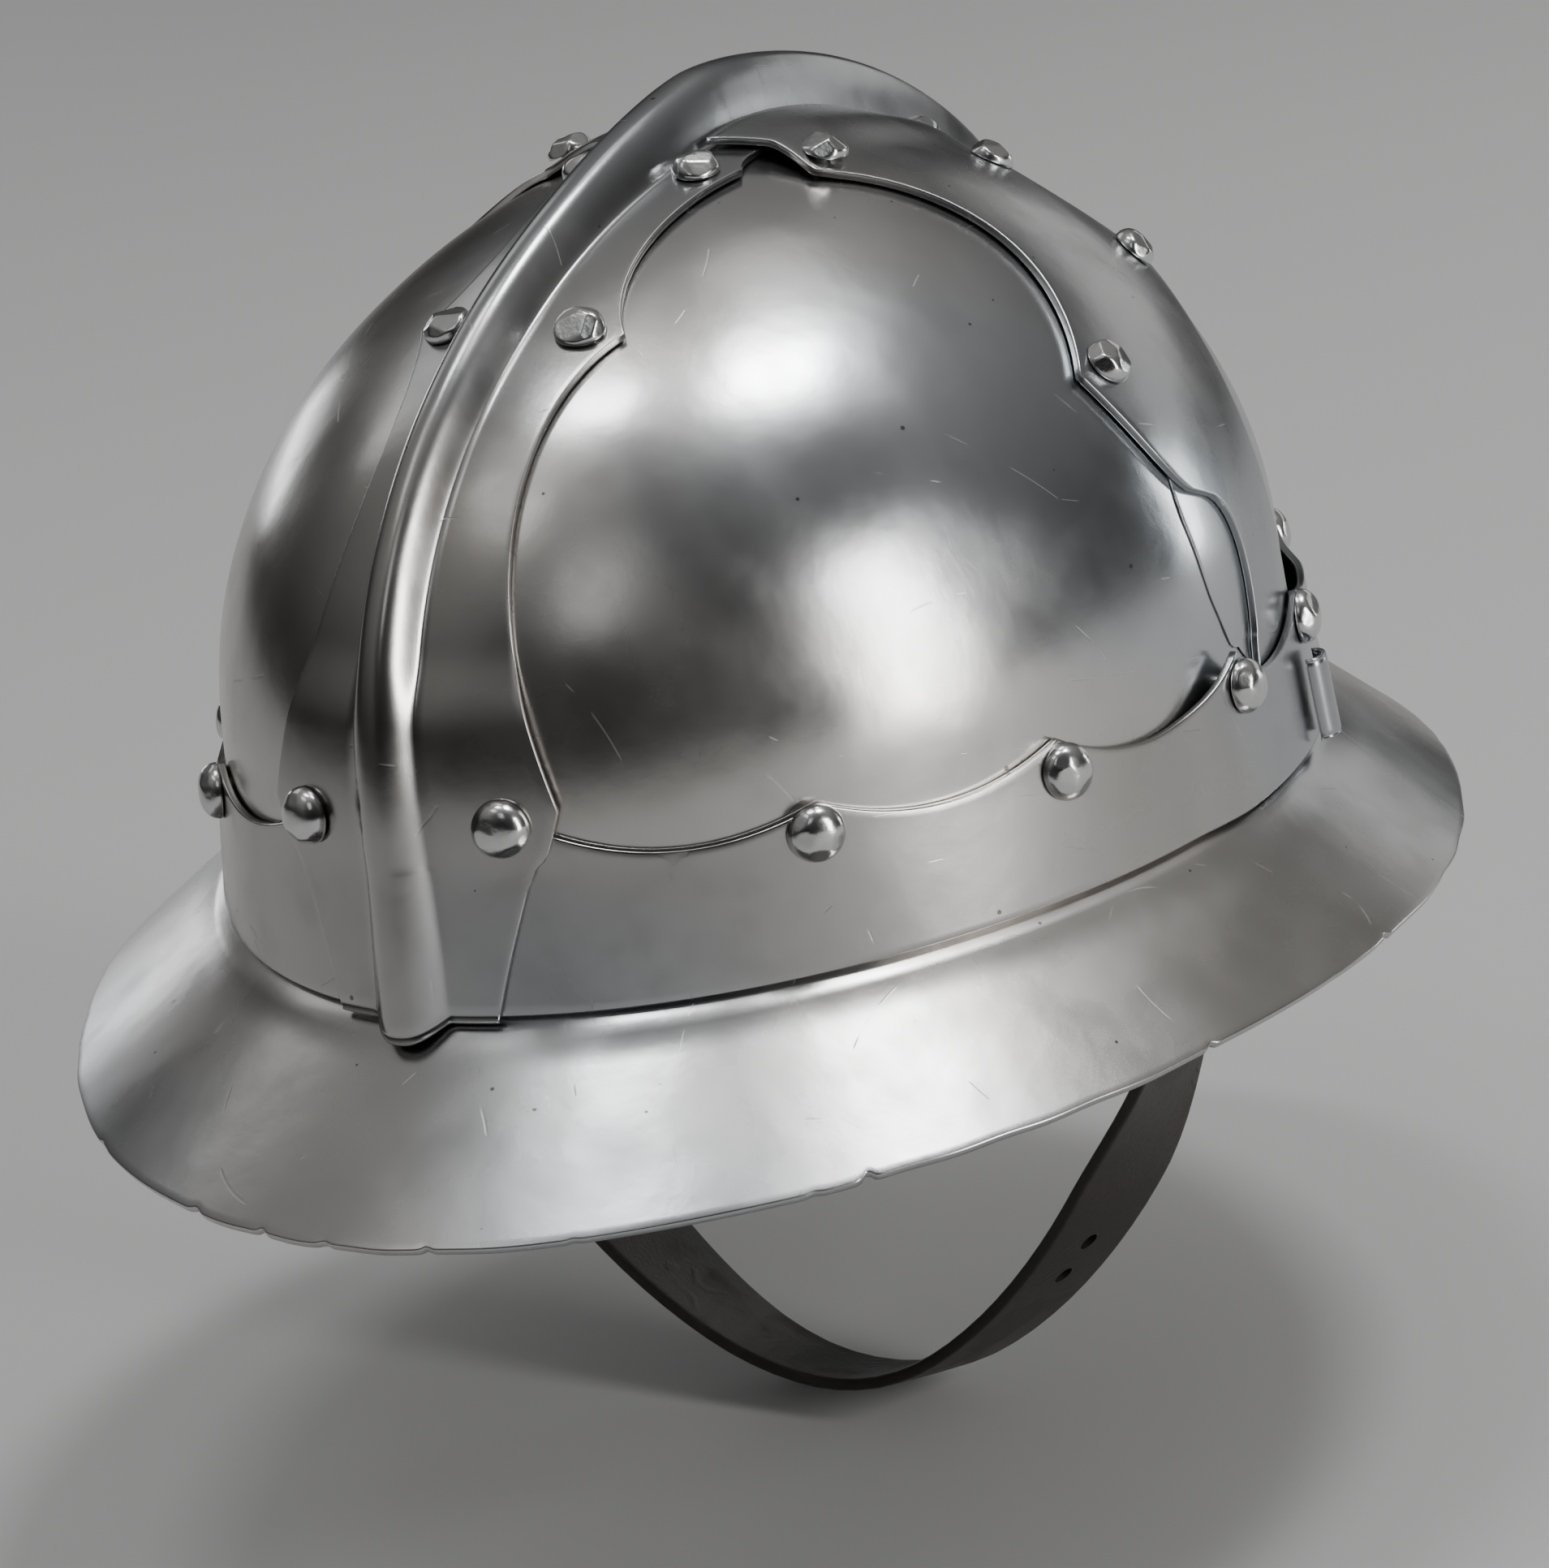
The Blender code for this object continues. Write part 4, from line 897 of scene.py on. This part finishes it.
def add_cross_bands(material):
    """Both bands, whose inner ends stop along the comb's side."""
    corners = {row[:1] for row in CROSS_REAR_EDGE + CROSS_FRONT_EDGE}
    stations = stations_between(sorted(corners), BAND_STEP)
    edges = [[edge_width(table, station) for station in stations]
             for table in (CROSS_REAR_EDGE, CROSS_FRONT_EDGE)]
    shares = np.linspace(-1.0, 1.0, BAND_COLUMNS)

    def offsets_at(places):
        rear, front = (np.interp(places, stations, edge) for edge in edges)
        return np.where(shares > 0.0, rear, front) * shares

    places = np.repeat(stations[:, None], BAND_COLUMNS, axis=1)
    reach = np.abs(cross_point(places, offsets_at(places))[..., 0])
    start = np.array([np.interp(CROSS_END, column, stations) for column in reach.T])
    near = np.clip((CROSS_END_STRETCH - places) / (CROSS_END_STRETCH - stations[0]), 0.0, 1.0)
    places = places + near * (start - stations[0])
    for side, right in SIDES:
        grid = cross_point(right * places, offsets_at(places))
        piece = sheet_piece(f"cross_band_{side}_sheet", grid, material)
        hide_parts(f"cross_band_{side}")


def add_plate_laps(material):
    """The rear plates' lapped edges, which come out from under the cross bands."""
    stations = stations_between(LAP_EDGE, EDGE_STEP)
    rear = np.interp(stations, *zip(*LAP_EDGE))
    window = 2 * LAP_SMOOTHING + 1
    padded = np.pad(rear, LAP_SMOOTHING, mode="edge")
    rear = sum(padded[index:index + len(rear)] for index in range(window)) / window
    shares = np.linspace(0.0, 1.0, LAP_COLUMNS) ** LAP_CROWDING
    offsets = LAP_HIDDEN + (rear[:, None] - LAP_HIDDEN) * shares
    for side, right in SIDES:
        place = crossing_place(-right * stations[:, None], CROSS_MIDDLE + offsets, False)
        sheet_piece(f"plate_lap_{side}", sheet_point(*place, LAP_DEPTH), material, LAP_THICKNESS,
                    radius=LAP_ROUND)


def add_seam_rib(material):
    """A short half-round tube over the brow band's closing seam."""
    heights = np.linspace(*RIB_HEIGHTS, RIB_ROWS)
    arc = np.linspace(0.0, math.pi, RIB_COLUMNS)
    turns = RIB_TURN + RIB_HALF_ANGLE * np.cos(arc)
    depth = 2.0 * LEVEL + RIB_THICKNESS + GAP + RIB_RISE * np.sin(arc)
    grid = sheet_point(turns, lift_at(heights)[:, None], depth)
    piece = sheet_piece("brow_seam_rib_tube", grid, material, RIB_THICKNESS)
    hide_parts("brow_seam_rib")


# ---- rivets

def capped_faces(rows, size):
    """Faces of rings stacked along an axis, with both ends closed."""
    faces = ring_faces(rows, size, False)
    return faces + [tuple(range(size)), tuple(range((rows - 1) * size, rows * size))[::-1]]


def hammered(points, random, count, depth):
    """A domed head with flats beaten into it."""
    reach = np.linalg.norm(points, axis=-1).max()
    for _ in range(count):
        tilt = math.radians(random.uniform(*FLAT_TILTS))
        turn = random.uniform(0.0, 2.0 * math.pi)
        facing = np.array([math.sin(tilt) * math.cos(turn), math.sin(tilt) * math.sin(turn),
                           math.cos(tilt)])
        along = points @ facing
        flat = along.max() - depth * random.uniform(0.5, 1.0) * reach
        points = points - np.maximum(along - flat, 0.0)[..., None] * facing
    return points


def add_rivet(node, head, place, level, stack, random, material):
    """One rivet: a beaten head, its shank and the peened end inside."""
    radius, height = head["radius"], head["height"]
    top = level * LEVEL + RIVET_GAP
    around = np.linspace(0.0, 2.0 * math.pi, RIVET_SEGMENTS, endpoint=False)
    uneven = 1.0 + head["uneven"] * (np.sin(2.0 * around + random.uniform(0.0, 6.0))
                                     + 0.6 * np.sin(3.0 * around + random.uniform(0.0, 6.0)))

    def ring(wide, level):
        return stacked(wide * np.cos(around) * uneven, wide * np.sin(around) * uneven, level)

    rise = np.radians(np.linspace(89.0, 0.0, RIVET_RINGS))[:, None]
    dome = ring(radius * np.cos(rise) ** head["blunt"], height * np.sin(rise))
    dome = hammered(dome, random, head["flats"], head["beaten"])
    dome[..., 2] += top
    under = -STACKS[stack] - RIVET_GAP
    # radius and level of the rings below the head: its underside, the shank, the peened end
    rest = ((radius - 0.25, top - 0.15), (SHANK_RADIUS, top - 0.1), (SHANK_RADIUS, under),
            (PEEN_RADIUS, under), (PEEN_RADIUS - 0.2, under - 0.35),
            (PEEN_RADIUS * 0.7, under - PEEN_HEIGHT * 0.85), (0.1, under - PEEN_HEIGHT))
    rings = np.concatenate([dome, np.array([ring(*row) for row in rest])])
    outward = bowl_normal(*place)
    side = unit(np.cross((0.0, 0.0, 1.0), outward))
    points = (bowl_point(*place) + rings[..., :1] * side
              + rings[..., 1:2] * np.cross(outward, side) + rings[..., 2:] * outward)
    faces = capped_faces(len(rings), RIVET_SEGMENTS)
    piece = make_piece(node + "_turned", points, faces, material)
    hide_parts(node)


def rivet_rows(side, right):
    """Node, head, place, level and innermost piece of each rivet on one side."""
    for name, turn, height, level, stack in BROW_RIVETS:
        place = (right * turn, lift_at(height))
        yield f"rivet_brow_{name}_{side}", ROUND_HEAD, place, level, stack
    for name, station, offset, level in COMB_RIVETS:
        head = ROUND_HEAD if name.endswith("low") else FLAT_HEAD
        place = crossing_place(station, -right * offset, True)
        yield f"rivet_comb_{name}_{side}", head, place, level, "plate"
    for name, station, offset, level in CROSS_RIVETS:
        place = crossing_place(-right * station, CROSS_MIDDLE + offset, False)
        yield f"rivet_cross_{name}_{side}", FLAT_HEAD, place, level, "plate"


def add_rivets(material):
    random = np.random.RandomState(RIVET_SEED)
    for side, right in SIDES:
        for row in rivet_rows(side, right):
            add_rivet(*row, random, material)


# ---- chin strap and buckle

def loop_outline():
    """The loop's middle line from the right ear to the left, as (x, z) points and lengths."""
    angle = np.linspace(0.0, math.pi / 2.0, STRAP_CURVE_STEPS + 1)
    quarter = stacked(STRAP_HALF_SPAN * np.cos(angle) ** (2.0 / STRAP_POWER),
                      -STRAP_DROP * np.sin(angle) ** (2.0 / STRAP_POWER))
    ear = np.array([[STRAP_HALF_SPAN - STRAP_LEAN * STRAP_TOP, STRAP_TOP]])
    left = np.concatenate([ear, quarter])
    sharp = np.concatenate([left * (-1.0, 1.0), left[-2::-1]])
    lengths = line_lengths(sharp)
    count = round(lengths[-1] / (STRAP_STEP / 2.0))
    places = np.linspace(0.0, lengths[-1], count + 1)
    reach = np.minimum(STRAP_ROUNDING, np.minimum(places, lengths[-1] - places))
    shares = (-1.0, -0.5, 0.0, 0.5, 1.0)
    rounded = sum(walk((sharp, lengths), places + reach * share) for share in shares) / len(shares)
    return rounded, line_lengths(rounded)


def line_lengths(points):
    steps = np.linalg.norm(np.diff(points, axis=0), axis=-1)
    return np.concatenate([[0.0], np.cumsum(steps)])


def walk(line, distance):
    points, lengths = line
    return stacked(*(np.interp(distance, lengths, column) for column in points.T))


def loop_place(line, distance, lift=0.0):
    """A place near the loop, its heading and its outward direction."""
    distance = np.asarray(distance, float)
    before = walk(line, np.maximum(distance - STRAP_STEP / 2.0, 0.0))
    heading = unit(walk(line, distance + STRAP_STEP / 2.0) - before)
    outward = stacked(heading[..., 1], -heading[..., 0])
    return walk(line, distance) + outward * np.asarray(lift)[..., None], heading, outward


def strap_tilt(distance):
    lean = eased(distance, *STRAP_TILT_START) - eased(distance, *STRAP_TILT_END)
    return np.radians(STRAP_TILT) * lean


def strap_grid(middle, outward, tilt, width):
    """Rows across a strap on its outer face, a little cupped."""
    shares = np.linspace(-1.0, 1.0, STRAP_COLUMNS)
    reach = shares * width[:, None] / 2.0
    rise = STRAP_THICKNESS / 2.0 - STRAP_CUP * shares ** 2
    aside = -np.sin(tilt)[:, None] * reach + rise * np.cos(tilt)[:, None]
    along = np.cos(tilt)[:, None] * reach + np.sin(tilt)[:, None] * rise
    return stacked(middle[:, :1] + outward[:, :1] * aside, STRAP_Y + along,
                   middle[:, 1:] + outward[:, 1:] * aside)


def worn_width(distance):
    wave = np.sin(distance / 23.0 + 1.0) + 0.6 * np.sin(distance / 9.0)
    return STRAP_WIDTH - STRAP_WORN + STRAP_WAVES * wave


def tip_lift(distance, bar):
    """The long strap dips under the outer bar and comes up over the folded strap."""
    under = -FOLD_RADIUS
    over = FOLD_RADIUS + STRAP_THICKNESS + GAP
    outer_bar = bar - BUCKLE_PITCH
    dip = under * eased(distance, outer_bar - DIP_LEAD, outer_bar - DIP_END)
    share = eased(distance, outer_bar + CROSSOVER[0], bar - CROSSOVER[1])
    rise = (over - under) * share
    return dip + rise - FOLD_RADIUS * eased(distance, bar + SETTLE[0], bar + SETTLE[1])


def strap_piece(name, grid, material, cuts):
    """A strap with holes: each cut is a place, direction, size and number of sides."""
    piece = sheet_piece(name, grid, material, STRAP_THICKNESS, radius=STRAP_EDGE)
    cutters = []
    for place, basis, size, sides in cuts:
        bm = bmesh.new()
        if sides == 4:
            bmesh.ops.create_cube(bm, size=1.0)
        else:
            bmesh.ops.create_cone(bm, cap_ends=True, segments=sides, radius1=1.0, radius2=1.0,
                                  depth=1.0)
        face_outward(bm)
        mesh = bpy.data.meshes.new("cutter")
        bm.to_mesh(mesh)
        bm.free()
        cutter = placed("cutter", mesh)
        cutter.matrix_world = (Matrix.Translation(Vector(place) * MM) @ basis.to_4x4()
                               @ Matrix.Diagonal((*(value * MM for value in size), 1.0)))
        cut = piece.modifiers.new("hole", "BOOLEAN")
        cut.operation, cut.solver, cut.object = "DIFFERENCE", "FAST", cutter
        cutters.append(cutter)
    bpy.context.view_layer.update()
    evaluated = piece.evaluated_get(bpy.context.evaluated_depsgraph_get())
    mesh = bpy.data.meshes.new_from_object(evaluated)
    piece.modifiers.clear()
    piece.data = mesh
    mesh.set_sharp_from_angle(angle=math.radians(HOLE_SHARP_ANGLE))
    for cutter in cutters:
        bpy.data.objects.remove(cutter, do_unlink=True)
    return piece


def strap_basis(heading, outward, tilt):
    """Along the strap, across it and out of it."""
    along = Vector((heading[0], 0.0, heading[1]))
    facing = Vector((outward[0] * math.cos(tilt), math.sin(tilt), outward[1] * math.cos(tilt)))
    return Matrix((along, facing.cross(along), facing)).transposed()


def buckle_place(line):
    return loop_place(line, line[1][-1] - BUCKLE_BAR_LIFT - BUCKLE_PITCH / 2.0)


def slot_cut(line):
    """The slot that the prong goes through."""
    place, heading, outward = buckle_place(line)
    size = (BUCKLE_PITCH + 2.0 * SLOT_REACH, PRONG_SLOT, SLOT_DEPTH)
    return (place[0], STRAP_Y, place[1]), strap_basis(heading, outward, 0.0), size, 4


def add_chin_strap(line, material):
    """The long strap, from the right ear under the chin to the buckle and past it."""
    bar = line[1][-1] - BUCKLE_BAR_LIFT
    distance = np.arange(0.0, bar + TIP_LENGTH, STRAP_ROW)
    middle, _heading, outward = loop_place(line, distance, tip_lift(distance, bar))
    tip = np.clip((distance - bar - TIP_LENGTH + TIP_TAPER) / TIP_TAPER, 0.0, 1.0)
    width = worn_width(distance) * (1.0 - TIP_NARROWING * tip ** 2.5)
    grid = strap_grid(middle, outward, strap_tilt(distance), width)
    cuts = [slot_cut(line)]
    for place_along in STRAP_HOLES:
        place, heading, away = loop_place(line, place_along)
        basis = strap_basis(heading, away, float(strap_tilt(place_along)))
        cuts.append(((place[0], STRAP_Y, place[1]), basis, STRAP_HOLE_SIZE, STRAP_HOLE_SIDES))
    piece = strap_piece("chin_strap_leather", grid, material, cuts)
    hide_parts("chin_strap")


def add_buckle_strap(line, material):
    """The short strap, from the left ear down to the buckle and folded round its bar."""
    end = line[1][-1]
    bar = end - BUCKLE_BAR_LIFT
    down = np.arange(end, bar, -STRAP_ROW)
    lift = FOLD_RADIUS * (1.0 - eased(down, bar + SETTLE[0], bar + SETTLE[1]))
    path = loop_place(line, down, lift)[0]
    centre, heading, outward = loop_place(line, bar)
    turn = np.linspace(0.0, math.pi, FOLD_ROWS)[:, None]
    fold = centre + (outward * np.cos(turn) - heading * np.sin(turn)) * FOLD_RADIUS
    back = np.arange(bar, bar + FOLD_LENGTH, STRAP_ROW)[1:]
    back = loop_place(line, back, np.full(back.shape, -FOLD_RADIUS))[0]
    path = np.concatenate([path, fold, back])
    ahead = unit(steps_along(path, False))
    away = stacked(-ahead[:, 1], ahead[:, 0])
    width = worn_width(np.arange(len(path)) * STRAP_ROW)
    grid = strap_grid(path, away, np.zeros(len(path)), width)
    piece = strap_piece("buckle_strap_leather", grid, material, [slot_cut(line)])
    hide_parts("buckle_strap")


def tube(path, radius, closed):
    """Rings of a round wire along a path, and its faces."""
    ahead = unit(steps_along(path, closed))
    side = unit(np.cross(ahead, WIRE_REFERENCE))
    other = np.cross(ahead, side)
    around = np.linspace(0.0, 2.0 * math.pi, WIRE_SIDES, endpoint=False)[None, :, None]
    rings = path[:, None] + radius[:, None, None] * (side[:, None] * np.cos(around)
                                                     + other[:, None] * np.sin(around))
    faces = ring_faces if closed else capped_faces
    return rings, faces(len(path), WIRE_SIDES)


def add_buckle(line, material):
    """A rectangular wire frame and its prong."""
    centre, heading, outward = buckle_place(line)
    along, away = np.insert(heading, 1, 0.0), np.insert(outward, 1, 0.0)
    middle = np.array([centre[0], STRAP_Y, centre[1]])
    aside = np.array([0.0, 1.0, 0.0])
    outline = []
    for corner, (inner, side) in enumerate(((1.0, 1.0), (-1.0, 1.0), (-1.0, -1.0), (1.0, -1.0))):
        for angle in np.radians(np.linspace(0.0, 90.0, CORNER_STEPS)) + math.pi / 2.0 * corner:
            reach = inner * (BUCKLE_PITCH / 2.0 - BUCKLE_CORNER) + BUCKLE_CORNER * math.cos(angle)
            across = side * (BUCKLE_HALF_WIDTH - BUCKLE_CORNER) + BUCKLE_CORNER * math.sin(angle)
            outline.append(middle + along * reach + aside * across)
    frame_rings, frame_faces = tube(np.array(outline), np.full(len(outline), BUCKLE_WIRE), True)
    share = np.linspace(0.0, 1.0, PRONG_ROWS)
    reach = BUCKLE_PITCH / 2.0 - share * (BUCKLE_PITCH + PRONG_TIP)
    lift = np.interp(share, *PRONG_LIFTS)
    prong = middle + along * reach[:, None] + away * lift[:, None]
    ends = np.sqrt(np.clip(1.0 - (2.0 * share - 1.0) ** 16, 0.01, 1.0))
    radius = PRONG_WIRE * (1.0 - PRONG_TAPER * share) * ends
    prong_rings, prong_faces = tube(prong, radius, False)
    start = len(outline) * WIRE_SIDES
    faces = frame_faces + [tuple(start + index for index in face) for face in prong_faces]
    points = np.concatenate([frame_rings, prong_rings])
    piece = make_piece("buckle_wire", points, faces, material)
    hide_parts("buckle")


# ---- camera, light and floor

def add_camera():
    data = bpy.data.cameras.new("camera")
    data.sensor_fit = "VERTICAL"
    data.sensor_height = SENSOR
    data.lens = CAMERA_LENS
    data.clip_end = CLIP_END
    camera = placed("camera", data)
    right, up = Vector(CAMERA_RIGHT).normalized(), Vector(CAMERA_UP).normalized()
    back = right.cross(up)
    camera.matrix_world = (Matrix.Translation(CAMERA_PLACE)
                           @ Matrix((right, up, back)).transposed().to_4x4())
    bpy.context.scene.camera = camera


def add_floor():
    graph = Graph(bpy.data.materials.new("floor"))
    corners = ((-1.0, -1.0), (1.0, -1.0), (1.0, 1.0), (-1.0, 1.0))
    mesh = bpy.data.meshes.new("floor")
    mesh.from_pydata([(FLOOR_SIZE * x, FLOOR_SIZE * y, FLOOR_HEIGHT) for x, y in corners], [],
                     [(0, 1, 2, 3)])
    mesh.materials.append(graph.finish(Base_Color=grey(FLOOR_GREY), Roughness=FLOOR_ROUGH))
    floor = placed("floor", mesh)


def add_soft_box(name, azimuth, elevation, distance, size, radiance, tint):
    """A soft box facing the hat, of a width and height in metres."""
    around, up = math.radians(azimuth), math.radians(elevation)
    direction = Vector((math.cos(around) * math.cos(up), math.sin(around) * math.cos(up),
                        math.sin(up)))
    data = bpy.data.lights.new(name, "AREA")
    data.shape = "RECTANGLE"
    data.size, data.size_y = size
    data.energy = radiance * math.pi * size[0] * size[1]
    data.color = tint
    lamp = placed(name, data)
    lamp.location = Vector(LIGHT_TARGET) + direction * distance
    lamp.rotation_euler = direction.to_track_quat("Z", "Y").to_euler()


def add_world():
    """A dim studio, brighter overhead and darkest on one side."""
    graph = Graph(bpy.data.worlds.new("studio"), "Generated")
    split = graph.feed(graph.add("ShaderNodeSeparateXYZ"), {0: graph.place})
    dot = graph.feed(graph.add("ShaderNodeVectorMath", operation="DOT_PRODUCT"),
                     {0: graph.place, 1: DARK_SIDE})
    strength = graph.times(graph.ramp(split.outputs["Z"], *WORLD_RISE),
                           graph.ramp(dot.outputs["Value"], *WORLD_SHADE))
    bpy.context.scene.world = graph.finish("Background", Color=WORLD_TINT, Strength=strength)


def main():
    add_camera()
    add_world()
    add_floor()
    for row in SOFT_BOXES:
        add_soft_box(*row)
    plate = steel_material("plate_steel", rough=0.2, worn=0.7, tone=0.56)
    # The bands, seam rib and buckle use the plates' steel with a darker tone, 0.44 against 0.56.
    # This is painted shade, standing in for the darker look the bands get from what they reflect.
    band = steel_material("band_steel_painted_shade", rough=0.215, worn=1.0, tone=0.44)
    add_plates(plate)
    add_plate_laps(plate)
    add_brim(steel_material("brim_steel", rough=0.25, worn=0.85, tone=0.48))
    add_brow_band(band)
    add_comb_band(band)
    add_cross_bands(band)
    add_rivets(rivet_material())
    add_seam_rib(band)
    leather = leather_material()
    line = loop_outline()
    add_chin_strap(line, leather)
    add_buckle_strap(line, leather)
    add_buckle(line, band)


main()
